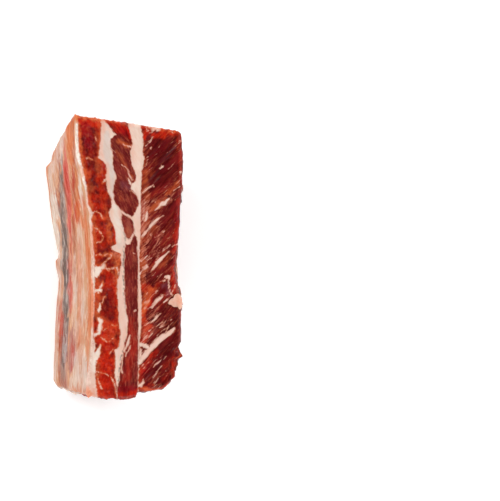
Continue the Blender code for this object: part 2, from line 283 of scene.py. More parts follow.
RIB_MEAT_VEINS = (
    ((91, 212, 0.9), (97, 211.6, 0.4), (100.8, 213.6, 0.5), (103, 218.6, 0.3)),
    ((92.6, 227.4, 0.5), (98, 229, 0.4), (101.2, 232.6, 0.4), (104.3, 238.4, 0.3)),
    ((94, 243.3, 0.6), (99.6, 241.8, 0.5), (103.3, 239.4, 0.3)),
    ((94.6, 256.4, 0.5), (101.2, 254.5, 0.4), (107.3, 254, 0.4), (111.6, 255.8, 0.3)),
    ((95.6, 135.6, 0.1), (97.2, 141.5, 0.2)),
    ((95.6, 371.8, 0.5), (105.3, 373.2, 0.3), (111.4, 376.2, 0.3), (115, 385.7, 0.4)),
    ((97.2, 374, 0.4), (98.7, 382, 0.8), (101.4, 388.6, 0.6)),
    ((103, 330, 0.2), (112, 324, 0.3), (117.4, 325, 0.3)),
    ((101, 337, 0.4), (108, 342.5, 0.4), (114, 338, 0.3)), ((114, 349, 0.5), (110, 353, 0.2)),
    ((106, 268, 0.3), (112, 272, 0.3)),
)

# Washes of colour on the upper cut face: finish, strength, and a line of (x, y, half width) pixels
FACE_WASHES = (
    ("bright", 0.85, ((80, 121, 3), (98, 123.5, 3.6))),
    ("orange", 0.7, ((72, 115.4, 1.6), (88, 117.4, 1.6), (100, 119.6, 1.4))),
    ("orange", 0.8, ((78, 124, 1.4), (80, 140, 1.5), (80.6, 154, 1.5), (84.2, 176, 1.3))),
    ("orange", 0.55, ((87, 186, 1), (90, 208, 1.2), (93.4, 220, 1.4), (94.4, 250, 1.6))),
    ("orange", 0.65, ((106, 253.6, 1.4), (112, 255.4, 1.8), (119, 256, 3.4))),
    ("thread", 0.4, ((114, 254, 1.8), (119, 256, 2.2))),
    ("orange", 0.3, ((117, 269, 2), (117.4, 277, 2))),
    ("bright", 0.8, ((154, 134, 1.6), (163, 134.6, 2.8))),
    ("thread", 0.4, ((178, 287, 1), (179, 293, 1.2))),
    ("thread", 0.35, ((150, 334, 1.6), (156, 331, 1.6))),
    ("orange", 0.6, ((99, 384, 1.8), (99.6, 396, 2.8))),
    ("orange", 0.6, ((117, 266, 1.6), (117, 278, 1.8))),
    ("bright", 0.8, ((114, 238, 2), (110, 244, 2.2))),
    ("orange", 0.6, ((98.6, 362, 1.8), (98.6, 376, 2.2))),
    ("orange", 0.4, ((96, 282, 2.4), (97, 300, 2.4), (97, 318, 2))),
    ("orange", 0.35, ((106, 208, 1.4), (107, 216, 1.6), (110, 228, 1.4))),
    ("orange", 0.4, ((101, 124, 0.8), (100.4, 140, 0.9), (98.6, 152, 0.7))),
    ("orange", 0.5, ((115, 262, 1.8), (119, 258, 1.4), (118, 268, 1.2), (116, 280, 1))),
    ("orange", 0.35, ((104, 322, 4), (110, 330, 5), (112, 340, 4))),
    ("deep", 0.55, ((92, 134, 4.5), (91, 156, 5))),
    ("bright", 0.35, ((104, 165, 3), (104.5, 175, 2.5))),
    ("bright", 0.7, ((115, 226, 2.4), (117, 240, 2.4))),
    ("bright", 0.5, ((112, 277, 4), (113, 300, 4.5))),
    ("deep", 0.5, ((109.5, 292, 3.2), (110, 316, 3.8))),
    ("deep", 0.6, ((107, 261, 3), (112, 266, 2.4))),
    ("deep", 0.5, ((112, 391.4, 1.4), (118, 394, 1.6))),
    ("brown", 0.6, ((168, 210, 2.4), (162, 217, 2.4))),
    ("orange", 0.3, ((168, 258, 2.4), (162, 265, 2.6))),
    ("coarse", 0.6, ((162, 282, 1.8), (156, 288, 2.2))),
    ("bright", 0.55, ((108, 328, 6), (109, 348, 5.5))),
    ("bright", 0.75, ((106, 362, 6), (106, 395, 8))),
    ("bright", 0.9, ((108, 122, 2.5), (120, 127, 5), (127, 133, 4.5), (131, 139, 3))),
    ("crimson", 0.55, ((86, 127, 4), (89, 143, 4.5))),
    ("crimson", 0.6, ((119.6, 129, 2), (127, 136, 3))),
    ("orange", 0.45, ((110, 226, 2.2), (112, 244, 2.4))),
    ("orange", 0.35, ((99, 160, 2.4), (99.6, 172, 2.4))),
    ("orange", 0.3, ((88, 174, 1.8), (90.4, 188, 2.4))),
    ("orange", 0.25, ((97, 262, 1.8), (101, 264, 2))),
    ("orange", 0.3, ((150, 236, 2), (156, 227, 2.2))),
    ("orange", 0.3, ((144, 180, 2.2), (150, 173, 2.2))),
    ("orange", 0.7, ((118.5, 140.8, 0.2), (125, 144.2, 0.5), (131, 146, 0.4))),
    ("orange", 0.35, ((117, 153, 0.5), (123.5, 161, 0.5), (128, 171, 0.5), (132, 177, 0.5))),
    ("deep", 0.75, ((122, 135.4, 1.4), (126, 137.6, 2), (131, 141, 1.6))),
    ("orange", 0.4, ((119, 195, 0.5), (123, 200, 0.4))),
    ("plum", 0.5, ((125, 184, 2.6), (127, 187, 2.4))),
    ("orange", 0.3, ((127.4, 229, 0.6), (130, 236, 1))),
    ("thread", 0.2, ((128, 222, 1.4), (130, 235, 1.8))),
    ("bright", 0.35, ((131, 318, 1.5), (134, 350, 2.5), (126, 380, 3))),
    ("crimson", 0.6, ((119, 391, 2.6), (128, 388.6, 2.8), (136, 391, 4))),
    ("bright", 0.7, ((119, 395.6, 1.8), (127, 395, 1.6), (136, 393, 1.8))),
    ("bright", 0.9, ((144, 128, 2.4), (147.5, 129.5, 2.6), (144, 137, 1.6))),
    ("bright", 0.8, ((160, 130, 1.4), (178, 133.6, 1.8))),
    ("coarse", 0.6, ((179, 134, 2), (181, 150, 1.6), (182, 180, 1.6))),
    ("coarse", 0.6, ((180.6, 200, 1.4), (178.6, 228, 1.8), (177.2, 250, 1.8), (177, 262, 1.4))),
    ("bright", 0.5, ((176.4, 232, 1.2), (176.6, 252, 1.2))),
    ("orange", 0.6, ((178, 184, 0.8), (166, 194, 0.9))),
    ("crimson", 0.6, ((178, 207, 1.6), (177.4, 220, 1.4))),
    ("deep", 0.8, ((167, 322, 2.4), (163, 330, 2.4))),
    ("orange", 0.5, ((166, 199, 0.8), (159, 204, 1.2), (150, 212, 1.8))),
    ("deep", 0.5, ((174, 206, 2), (169, 214, 1.4))),
    ("orange", 0.3, ((145, 172, 1.4), (147, 196, 2), (146, 222, 3.2), (145, 240, 2))),
    ("thread", 0.55, ((142.4, 204, 1.2), (143.4, 216, 2), (142.4, 231, 1.4))),
    ("orange", 0.45, ((143, 240, 1.5), (143, 284, 1.8))),
    ("bright", 0.7, ((146, 288, 3), (152, 292, 3.6), (148, 302, 3.6), (144, 312, 1.8))),
    ("orange", 0.65, ((156, 288, 1.2), (149, 296, 1.6), (144, 306, 1.2))),
    ("plum", 0.55, ((163, 286, 1.6), (167.6, 284, 1.5), (168.4, 292, 1.2))),
    ("bright", 0.55, ((176, 268, 1.2), (174, 284, 1.6), (176, 292, 1.2))),
    ("bright", 0.7, ((142, 318, 2), (148, 328, 4), (144, 340, 2.2))),
    ("orange", 0.2, ((142, 316, 1.4), (147, 326, 2.6), (143, 336, 1.4))),
    ("bright", 0.65, ((156, 352, 1.6), (150, 359, 3), (142, 369, 1.8))),
    ("crimson", 0.5, ((149, 366, 1), (145, 371, 1.4))),
    ("bright", 0.25, ((141, 370, 1.2), (141, 380, 1.6))),
    ("bright", 0.75, ((181.5, 355, 1), (177, 362, 1.2), (176.6, 372, 1.3), (170, 381, 1.5), (160, 388, 1.7),
                      (142, 391, 1.4))),
    ("bright", 0.5, ((174, 358, 0.8), (164, 366, 0.6))),
    ("bright", 0.5, ((174, 369, 0.7), (164, 379, 0.8))),
    ("orange", 0.6, ((182, 354.6, 1.3), (177.4, 358.6, 0.8))),
    ("orange", 0.5, ((177.4, 371.4, 0.9), (175, 376, 0.8), (171, 381, 0.6))),
    ("deep", 0.5, ((171, 360, 1.4), (160, 370, 1.8))),
    ("deep", 0.5, ((170, 374, 1.6), (158, 384, 1.4))),
    ("orange", 0.6, ((164, 387, 1.2), (152, 390, 1.2), (140, 391, 1.2))),
    ("orange", 0.6, ((150, 290, 2), (146, 300, 3), (143, 310, 1.8))),
    ("deep", 0.5, ((162, 150, 9), (160, 178, 7))),
    ("deep", 0.4, ((166, 345, 6), (158, 360, 5))),
)
FAT_WASHES = (
    ("cool", 0.55, ((107, 134, 2), (107, 152, 3), (112, 172, 1.8), (112.6, 196, 1.6))),
    ("cool", 0.35, ((115.6, 206, 1.6), (118, 226, 2), (120, 246, 2))),
    ("white", 0.35, ((114.6, 206, 1.6), (117.4, 222, 2), (119, 240, 1.8))),
    ("rosy", 0.5, ((107, 165, 1.6), (108, 188, 1.4))),
    ("rosy", 0.2, ((121.5, 270, 2.4), (123, 340, 3), (119, 372, 2))),
    ("white", 0.12, ((134, 122, 2.4), (137.5, 150, 3), (138, 190, 2.4))),
    ("white", 0.8, ((77, 126, 1.2), (77.4, 150, 1.8), (80.6, 168, 1.2), (85.4, 188, 1.1))),
    ("white", 0.5, ((98, 268, 3), (98.6, 292, 3), (99, 330, 2.4), (96, 370, 2.6))),
    ("amber", 0.4, ((91, 226, 0.9), (92.2, 255, 1.1))),
    ("amber", 0.8, ((91.6, 280, 1), (91.8, 300, 1.8), (91.4, 326, 1.4))),
    ("amber", 1, ((73.6, 116, 3.4), (79, 117.6, 2.2))),
    ("amber", 0.9, ((76.8, 117, 2), (76.8, 121, 1.2))),
    ("amber", 0.5, ((80.4, 167, 0.9), (81.8, 176, 0.9))),
    ("rosy", 0.6, ((102.6, 124, 1.2), (104, 132, 1.6))),
    ("amber", 0.7, ((86.6, 386, 1.2), (89.6, 396, 2.4))),
    ("orange", 0.4, ((94, 390, 1), (94.6, 397, 1.6))),
)
GREY_STREAK = (
    (60.8, 158, 0.4), (61.6, 170, 1.2), (62.4, 190, 1.7), (63.2, 207, 2), (64.4, 225, 2), (65.6, 245, 2.8),
    (66.8, 262, 3.3), (66.6, 276, 3.4), (66.4, 300, 3.2), (65.9, 320, 2.8), (65.5, 336, 2.5),
    (65.4, 350, 2), (65, 362, 1),
)
SKIN_WASHES = (
    ("rosy", 0.6, ((63, 132, 2.6), (59, 150, 3.2), (54, 166, 3))),
    ("cream", 0.5, ((64, 132, 1.6), (61.6, 144, 2.2), (57, 158, 2.6))),
    ("cream", 0.6, ((74.6, 150, 0.6), (76, 164, 0.8))),
    ("white", 0.5, ((52.5, 168, 1.4), (53, 182, 1.6), (54.6, 200, 2))),
    ("white", 0.8, ((54.2, 196, 1.4), (57, 212, 2.2), (58.8, 232, 1.8), (60.2, 248, 1))),
    ("white", 0.8, ((58.6, 256, 1.2), (59, 266, 2), (60, 278, 1.2), (59.4, 292, 0.8))),
    ("amber", 1, ((73, 115, 3.4), (78, 117.4, 2.4))),
    ("amber", 0.95, ((74, 118, 2.4), (71, 130, 2.8), (70.4, 146, 2.6), (72.4, 164, 1.6))),
    ("amber", 0.7, ((66.6, 126, 0.9), (64.4, 144, 1.1))),
    ("amber", 0.6, ((74.6, 136, 0.8), (75, 152, 0.9))),
    ("amber", 0.95, ((75.6, 170, 1.8), (76, 178, 2.2), (77.6, 190, 2), (80.6, 204, 1.4))),
    ("cream", 0.55, ((73.6, 256, 1), (74.6, 275, 1.6), (74.8, 300, 1.2))),
    ("amber", 0.8, ((71, 188, 0.8), (72.4, 202, 1.8), (73, 214, 1.4))),
    ("tan", 0.6, ((75, 170, 2.4), (76, 200, 2.6), (76.6, 232, 2.2), (78, 262, 2))),
    ("blush", 0.6, ((64, 146, 0.8), (65.6, 158, 1.6), (67, 172, 2.2))),
    ("blush", 0.9, ((65.8, 152, 0.2), (66.8, 170, 1.9), (68, 186, 2.7), (69, 205, 2.7), (69.6, 226, 1.6))),
    ("blush", 0.4, ((69.8, 220, 1.6), (70.4, 240, 0.9), (70.6, 268, 0.9), (70.6, 296, 0.9))),
    ("blood", 0.5, ((66.6, 170, 0.5), (69, 187, 0.7), (68.6, 200, 0.4))),
    ("ink", 0.6, ((61.4, 166, 0.2), (61.8, 180, 0.6), (62.6, 194, 0.3))),
    ("blood", 0.5, ((70.5, 222, 0.4), (71.4, 234, 0.6), (71.2, 246, 0.1))),
    ("blood", 0.5, ((71, 264, 0.2), (71.2, 276, 0.6))),
    ("rust", 0.9, ((59.4, 158, 0.5), (59.6, 190, 0.8), (60.6, 208, 0.6))),
    ("rosy", 0.5, ((52.6, 172, 0.8), (53.6, 190, 0.8))),
    ("grey", 0.85, GREY_STREAK),
    ("rust", 0.75, ((73.6, 122, 0.4), (74.4, 160, 0.6), (74.2, 190, 0.6), (73.8, 215, 0.6), (75, 245, 0.6),
                    (75.4, 270, 0.2))),
    ("white", 0.6, ((79, 176, 0.7), (82, 200, 0.9), (84, 215, 0.7))),
    ("white", 0.35, ((80, 226, 2.2), (80.5, 245, 2.6), (82, 266, 2.2), (83, 300, 1.4))),
    ("amber", 0.8, ((83.4, 202, 0.6), (84.6, 212, 1), (86.4, 226, 2), (88.6, 250, 2))),
    ("white", 0.3, ((80.4, 184, 0.8), (82, 196, 1))),
    ("rust", 0.55, ((74.8, 168, 0.9), (75.2, 184, 1.1))),
    ("amber", 0.75, ((89.4, 250, 1.7), (90, 275, 1.8), (90.4, 300, 2), (90.2, 322, 1.8), (89.4, 338, 0.9))),
    ("amber", 0.7, ((87.4, 336, 0.6), (88, 360, 0.6), (87.4, 374, 0.9), (87, 392, 1.6))),
    ("blood", 1, ((77.4, 207, 1.2), (77.2, 214, 2.7))),
    ("amber", 0.6, ((77.6, 205, 0.6), (77.6, 221, 1))),
    ("amber", 0.75, ((79.6, 214, 1.4), (83, 224, 1.6))),
    ("blood", 0.6, ((73.7, 166, 0.7), (73.9, 184, 0.9))),
    ("rust", 0.4, ((69.2, 284, 1.4), (69.6, 298, 1.4))),
    ("rosy", 0.7, ((60.6, 262, 1.2), (61.8, 285, 1.4), (60.6, 300, 1.2), (59.4, 320, 1.6))),
    ("rosy", 0.7, ((58, 300, 0.9), (57.8, 320, 1.4), (57.8, 340, 1.2))),
    ("rosy", 0.75, ((77, 326, 1.6), (76, 346, 2.2), (82, 366, 4.6), (82, 390, 4.4))),
    ("white", 0.5, ((84.6, 352, 0.8), (85, 372, 1.4), (84, 388, 1.4))),
    ("cream", 0.7, ((82.4, 304, 1.2), (81.6, 318, 1.4), (81, 326, 1))),
    ("blush", 0.6, ((69, 262, 1.4), (69.8, 285, 2.2), (70.4, 306, 1.6))),
    ("blood", 0.75, ((61, 302, 0.6), (61.8, 316, 1.3), (62.2, 330, 1.3), (61.2, 348, 0.8))),
    ("rust", 0.7, ((64.6, 318, 0.6), (65, 332, 1.2), (65, 342, 0.8))),
    ("white", 0.25, ((75, 285, 1), (75, 310, 1.4), (73.6, 332, 1.6))),
    ("rust", 0.4, ((78.4, 258, 0.3), (78, 280, 0.4), (77.6, 300, 0.3))),
    ("amber", 0.5, ((79.2, 246, 1.2), (80.2, 264, 1.8), (80.4, 284, 1.2), (79.6, 318, 0.7))),
    ("amber", 0.6, ((82.6, 328, 0.8), (80.4, 337, 1.8), (78, 346, 0.9))),
    ("clot", 1, ((67.2, 347, 0.8), (66.4, 356, 1.6))),
    ("mauve", 0.7, ((71.5, 334, 2), (72.6, 348, 3.2), (71, 364, 2.2))),
    ("blood", 0.6, ((72.4, 346, 0.7), (72.6, 353, 0.8))),
    ("blood", 0.6, ((71.4, 363, 0.5), (71.8, 369, 0.7))),
    ("mauve", 0.45, ((64, 346, 3), (63, 368, 4.2), (66, 386, 3.4))),
    ("grey", 0.6, ((62.6, 348, 1.6), (62, 368, 2.4), (63.4, 386, 2))),
    ("rust", 0.6, ((60.2, 344, 1.2), (58.8, 364, 0.9), (61, 384, 1.5), (66, 386.6, 1.5))),
    ("tan", 0.5, ((59, 350, 1.2), (58, 372, 1.6), (60, 386, 1.2))),
    ("white", 0.45, ((57, 332, 0.8), (56.8, 352, 1), (56.4, 376, 1.2))),
    ("white", 0.45, ((76, 362, 2), (78, 378, 3), (72, 386, 2))),
    ("amber", 0.6, ((72, 389.4, 0.8), (86, 394, 1.2))),
    ("ink", 0.6, ((63.4, 341, 0.8), (63.4, 352, 1.4), (63.6, 361, 0.8))),
    ("rust", 0.75, ((61.4, 344, 0.7), (61.6, 354, 1.2), (61.6, 360, 0.7))),
    ("rust", 0.5, ((64.4, 176, 0.5), (65, 190, 0.8), (65.6, 200, 0.4))),
    ("rust", 0.5, ((69.8, 256, 0.5), (70, 266, 0.9), (70, 274, 0.5))),
    ("cream", 0.45, ((75.4, 152, 0.8), (76.6, 165, 1.3))),
    ("white", 0.35, ((64.4, 136, 1.2), (62.4, 146, 1.6))),
)

# How deep the photograph's streaks and edges reach below the cut face before the rib's own take over
STREAK_DEPTH = 9.0
EDGE_DEPTH = 6.0
# How much raggedness, in millimetres, lets the edges stray by the whole of their noise
FULL_STRAY = 0.34
# How thick the skin's own colour is where a cut shows it
SKIN_DEPTH = 0.6
# The skin's own share of the light, as its slope catches more than the cut face
SKIN_SHADE = 0.81
# Pixel y of the amber and of the pale stretch of the skin's fringe
AMBER_FRINGE = 176
PALE_FRINGE = 267
# Painted shade on the uncut sides and ends, which also stands for the darker dried surface of real beef: how
# much darker their meat and fat are than the fresh cut
PAINTED_SIDE_SHADE = 0.3
# Where dark pores line the far side of the inner fat: middle and half length in pixels
PORED = ((266, 34), (366, 22))
# How far towards the near end, in pixels, meat lies over the skin's cut edge
MEAT_OVER_SKIN = 346
# Where the cut meat is smooth and wet
SMOOTH_AREAS = (
    ((106, 378, 6), (108, 396, 8)), ((120, 392, 4), (136, 391, 4)),
    ((108, 122, 2.5), (120, 127, 5), (129, 134, 4.5)),
)
# The torn flap of fat: its middle and outline in pixels, the pixel x past which it hangs down, and its
# thickness in millimetres
FLAP_MIDDLE = (176.2, 301)
FLAP_OUTLINE = (
    (181, 296), (178.6, 293.6), (176, 294.2), (173.4, 298), (168, 303.6), (171.6, 304.8), (174.6, 307),
    (177.6, 306.6), (180, 309.8), (181.6, 307), (182.2, 301.2),
)
FLAP_HANGS_FROM = 178
FLAP_THICKNESS = 1.1
# How far the faint lines and the threads between fibre bundles stay below showing white, in pixels and
# millimetres
FAINT = 0.35
THREAD_DEPTH = 0.22
# Pixel y where the middle muscle's upper lobes, with slanting fibres, give way to its straight strip
LOBES_END = 238
# The outer muscle's fibres run across the cut face, from the far outer side to the near inner side
FIBRE_ACROSS = math.radians(47)

# How much closer the outer muscle's faces lie towards its outer side, as a power of the share across it
GATHERED_OUTSIDE = 1.25
# Points round the flap and round the backdrop
ROUND_COUNT = 96
# Edges stay sharp where faces meet at more than this angle
SHARP_FROM = math.radians(62)


def colour_property(name, description, colour):
    return bpy.props.FloatVectorProperty(
        name=name, description=description, default=colour, size=3, min=0.0, max=1.0, subtype="COLOR",
    )


def screen_colour(name, description, *screen):
    """A colour property from screen values of 0 to 255: ((c + 0.055) / 1.055) to the power 2.4, or c /
    12.92."""
    shares = np.array(screen) / 255
    linear = np.where(shares > 0.04045, ((shares + 0.055) / 1.055) ** 2.4, shares / 12.92)
    return colour_property(name, description, tuple(linear.tolist()))


def length_property(name, description, default, **limits):
    return bpy.props.FloatProperty(
        name=name, description=description, default=default, precision=5, unit="LENGTH",
        subtype="DISTANCE", **limits,
    )


class ShortRibSurface(bpy.types.PropertyGroup):
    face_size: length_property("Face size", "Length of the faces along the rib", 0.00044, min=0.0003)
    fibre_relief: length_property("Fibre relief", "Height of the fibre bundles on the cut faces", 0.00032)
    grain_relief: length_property("Grain relief", "Height of the grains of the rib meat", 0.00042)
    fat_rise: length_property("Fat rise", "How far firm fat stands over the meat", 0.00008)
    raggedness: length_property(
        "Raggedness", "How far the edges of the tissues stray from their course", 0.00034,
    )


class ShortRibColours(bpy.types.PropertyGroup):
    deep: screen_colour("Deep meat", "Darkest meat, inside the outer muscle", 92, 12, 18)
    red: screen_colour("Red meat", "Middle tone of the outer muscle", 124, 26, 26)
    brown: screen_colour("Brown meat", "The dry looking middle muscle", 130, 42, 38)
    coarse: screen_colour("Rib meat", "The coarse meat between the ribs", 164, 32, 12)
    bright: screen_colour("Bright meat", "Freshly cut meat near the edges", 204, 38, 14)
    crimson: screen_colour("Crimson meat", "Moist meat at the saw cuts", 150, 8, 26)
    orange: screen_colour("Translucent edge", "Thin meat and fat over each other", 218, 106, 58)
    plum: screen_colour("Plum sheen", "Meat under silver skin", 142, 84, 92)
    cream: screen_colour("Fat", "Firm fat", 233, 202, 187)
    white: screen_colour("White tissue", "Sinew and the whitest fat", 246, 236, 224)
    cool: screen_colour("Cool fat", "Wet fat over dark meat", 208, 200, 194)
    rosy: screen_colour("Rosy fat", "Fat with meat below", 228, 176, 154)
    skin: screen_colour("Skin", "Skin over the rib", 230, 172, 134)
    amber: screen_colour("Amber", "Orange stretch of the skin", 228, 122, 68)
    tan: screen_colour("Tan", "Dried stretch of the skin", 222, 150, 102)
    thread: screen_colour("Thread", "Thin tissue between the fibres", 208, 128, 106)
    blush: screen_colour("Blush", "Pink stretch of the skin", 222, 92, 78)
    blood: screen_colour("Blood", "Spots of blood in the skin", 204, 52, 34)
    rust: screen_colour("Rust", "Creases of the skin", 184, 88, 56)
    grey: screen_colour("Grey", "Grey streak of the skin", 158, 136, 128)
    ink: screen_colour("Ink", "Darkest grains of the grey streak", 66, 58, 58)
    clot: screen_colour("Clot", "Dark spot of the skin", 110, 34, 30)
    mauve: screen_colour("Mauve", "Bruised stretch of the skin", 184, 118, 114)
    bone: screen_colour("Bone", "Hard rim of the sawn bone", 232, 214, 190)
    marrow: screen_colour("Marrow", "Porous middle of the sawn bone", 164, 92, 74)


class ShortRibStage(bpy.types.PropertyGroup):
    floor_colour: colour_property("Floor", "Colour of the floor and the backdrop", (0.86, 0.86, 0.86))
    floor_radius: length_property("Floor radius", "Where the floor starts to curve up", 1.3)
    floor_glow: bpy.props.FloatProperty(
        name="Floor glow", description="Light that comes through the floor, as on a light table",
        default=0.38,
    )
    wall_height: length_property("Backdrop height", "Height of the backdrop's wall", 1.1)
    light_power: bpy.props.FloatProperty(
        name="Light", description="Power of each soft light", default=12.0, unit="POWER",
    )
    sky: bpy.props.FloatProperty(name="Sky", description="Strength of the even light", default=0.05)
    camera_height: length_property(
        "Camera height", "Height of the camera over the cut face", CAMERA_OVER * MM,
    )


def mix(a, b, share):
    """From a at share 0 to b at share 1: a + (b - a) * share."""
    return a + (b - a) * share


def smooth(share):
    """Share held between 0 and 1, then 3 s squared - 2 s cubed."""
    held = np.clip(share, 0.0, 1.0)
    return held * held * (3 - 2 * held)


def along(values, u):
    """The value at share u: cubic between even stations, with slopes from the stations on each side."""
    stations = np.asarray(values, float)
    last = len(stations) - 1
    place = np.clip(u, 0.0, 1.0) * last
    i = np.minimum(place.astype(int), last - 1)
    t = place - i
    start = (stations[i + 1] - stations[np.maximum(i - 1, 0)]) / 2
    end = (stations[np.minimum(i + 2, last)] - stations[i]) / 2
    return mix(stations[i], stations[i + 1], smooth(t)) + start * t * (1 - t) ** 2 - end * t * t * (1 - t)


def bump(distance, half_width):
    """1 in the middle, falling off as e to the power -(distance / half width) squared."""
    return np.exp(-((distance / half_width) ** 2))


def rounded(distance, radius):
    """Drop of a face at this distance from an edge that is a quarter circle: r - root(r squared - (r - d)
    squared)."""
    inside = np.clip(distance, 0.0, radius)
    return radius - np.sqrt(radius**2 - (radius - inside) ** 2)


def shuffled(seed):
    return np.random.default_rng(seed).permutation(1024)


def noise(x, y, z, seed):
    """Smooth noise from -1 to 1: a fixed random value at each whole-number corner, blended over the eight
    corners around the point by 6 t^5 - 15 t^4 + 10 t^3 along each axis."""
    order = shuffled(seed)
    value = np.linspace(-1, 1, 1024)[shuffled(seed + 500)]
    cell = [np.floor(c).astype(int) for c in (x, y, z)]
    fx, fy, fz = (t * t * t * (t * (t * 6 - 15) + 10) for t in (c - n for c, n in zip((x, y, z), cell)))
    nx, ny, nz = cell
    total = 0.0
    for dx, wx in ((0, 1 - fx), (1, fx)):
        row = order[(nx + dx) & 1023]
        for dy, wy in ((0, 1 - fy), (1, fy)):
            column = order[(row + ny + dy) & 1023]
            for dz, wz in ((0, 1 - fz), (1, fz)):
                total = total + value[order[(column + nz + dz) & 1023]] * (wx * wy * wz)
    return total


def layered_noise(x, y, z, seed, layers=3):
    """Noise plus half as much at twice the pitch, and so on, brought back to about -1 to 1."""
    total = 0.0
    for i in range(layers):
        pitch = 2.07**i
        total = total + noise(x * pitch + 17.3 * i, y * pitch - 9.1 * i, z * pitch + 4.7 * i, seed + i) / 2**i
    return total / 1.4


def bone_side(u, w):
    """X of the bone side: from its widest to the upper edge as the rise to the power of its curve, less the
    flap."""
    rise = np.maximum(0.0, (w - WIDEST_SHARE) / (1 - WIDEST_SHARE))
    at, reach, half = BONE_SIDE_FLAP
    flap = reach * bump((u - 0.5) * LENGTH - at, half) * bump(w - WIDEST_SHARE, WIDEST_SHARE)
    return mix(along(WIDEST, u), along(TOP_EDGE, u), rise**BONE_SIDE_CURVE) - flap


def boundaries(u, w):
    """X of the seven boundaries of the layers: the bone side plus the thicknesses so far. A thickness goes
    from its resting value to its upper one with w, plus its belly times sin(pi w). Both outer faces tuck in
    below."""
    tuck = np.maximum(0.0, (WIDEST_SHARE - w) / WIDEST_SHARE) ** 2
    side = bone_side(u, w)
    walls = []
    for count in range(LAYER_COUNT + 1):
        if count > 0:
            top, base, belly = LAYERS[count - 1]
            side = side + mix(along(base, u), along(top, u), w) + belly * np.sin(np.pi * w)
        walls.append(side + TUCK_UNDER * tuck * (1 - 2 * count / LAYER_COUNT))
    walls[-1] = walls[-1] + sum(reach * bump(u - at, half) for at, reach, half in SHREDS) * w**3
    return walls


def placed(x, u, w, walls):
    """The point at this X and these shares. Y runs from the near saw cut to the far one with u. Z is w
    times the height, plus the swell and ripples near the upper face, less the rounding of the edges."""
    inner = x - walls[0]
    outer = walls[-1] - x
    step = smooth((x - NEAR_END_STEP_FROM) / NEAR_END_STEP_OVER)
    near = (-LENGTH / 2 + NEAR_END_STEP * step + NEAR_END_LEAN * (1 - w) * HEIGHT
            + rounded(inner, NEAR_CORNER_INNER) + rounded(outer, NEAR_CORNER_OUTER))
    share = inner / (inner + outer)
    lean = mix(FAR_END_LEAN, FAR_END_LEAN_OUTER, share)
    far = (LENGTH / 2 + FAR_END_SKEW * (x - TOP_EDGE[-1]) - lean * (1 - w) * HEIGHT
           - rounded(inner, FAR_CORNER) - rounded(outer, FAR_CORNER))
    y = mix(near, far, u)
    edge = np.minimum(outer, np.minimum(u, 1 - u) * LENGTH)
    drop = np.maximum(rounded(inner, ROUND_INNER_EDGE), rounded(edge, ROUND_EDGE))
    swell = SWELL * np.sin(np.pi * share) + RIPPLE * np.sin(2 * np.pi * (y / RIPPLE_LENGTH + RIPPLE_SKEW * x))
    top = smooth((w - 1) / FACE_DEPTH + 1)
    base = smooth(1 - w / FACE_DEPTH)
    z = w * HEIGHT + (swell * np.sin(np.pi * u) - drop) * top + drop * base
    return x + CENTRE_X, y + CENTRE_Y, z


def bone_reach(v):
    """Half the bone's height at this share of its thickness: a flat oval, (1 - |2v - 1|^n)^(1/n), cut off
    flat."""
    oval = np.maximum(1 - np.abs(2 * v - 1) ** BONE_OVAL, 0.0) ** (1 / BONE_OVAL)
    return np.maximum(BONE_HALF * oval, BONE_FLANK)


def bone_top(v):
    return BONE_CENTRE + bone_reach(v)


def bone_base(v):
    return BONE_CENTRE - bone_reach(v)


def photo_pixel(x, y, z):
    """Where the photograph's camera sees a point: its offset from the picture's middle shrinks with
    distance."""
    nearer = CAMERA_OVER / (CAMERA_OVER + HEIGHT - z)
    px = PHOTO_MIDDLE[0] + ((x - CENTRE_X) / PIXEL + RIB_PIXEL[0] - PHOTO_MIDDLE[0]) * nearer
    py = PHOTO_MIDDLE[1] + (RIB_PIXEL[1] - (y - CENTRE_Y) / PIXEL - PHOTO_MIDDLE[1]) * nearer
    return px, py


def face_place(px, py):
    """The place in millimetres of a pixel on the upper cut face."""
    return (px - RIB_PIXEL[0]) * PIXEL + CENTRE_X, (RIB_PIXEL[1] - py) * PIXEL + CENTRE_Y


def edge_at(edge, py):
    """Pixel x of an edge at pixel y, straight between its points."""
    points = np.array(edge)
    return np.interp(py, points[:, 1], points[:, 0])


def inside_line(px, py, line):
    """How far inside a line of (x, y, half width) a point lies: the half width less the distance to the
    line."""
    best = np.full(px.shape, -99.0)
    for (x0, y0, r0), (x1, y1, r1) in zip(line, line[1:]):
        dx = x1 - x0
        dy = y1 - y0
        t = np.clip(((px - x0) * dx + (py - y0) * dy) / (dx * dx + dy * dy), 0.0, 1.0)
        best = np.maximum(best, mix(r0, r1, t) - np.hypot(px - x0 - t * dx, py - y0 - t * dy))
    return best


def inside_lines(px, py, lines):
    return np.maximum.reduce([inside_line(px, py, line) for line in lines])


def tint(colour, over, share):
    """Moves a colour of each point towards another by its own share."""
    return colour + (np.asarray(over) - colour) * np.asarray(share)[:, None]


def coated(colours, base, *coats):
    """A colour of each point, or the finish of that name, under coats: each a finish or a colour, and its
    share."""
    colour = np.array(getattr(colours, base)) if isinstance(base, str) else base
    for over, share in coats:
        colour = tint(colour, getattr(colours, over) if isinstance(over, str) else over, share)
    return colour


def washed(colour, washes, px, py, colours, reach, softness=1.0, fray=0.0, stretch=1.0):
    """Lays each wash over the colour. Its edge fades over about this many pixels, sooner or later by the
    fray, and its ends run out longer by the stretch."""
    for finish, strength, line in washes:
        line = [(x, y / stretch, half) for x, y, half in line]
        share = smooth(0.75 + inside_line(px, py / stretch, line) / (2 * softness) + fray) * strength * reach
        colour = tint(colour, getattr(colours, finish), share)
    return colour


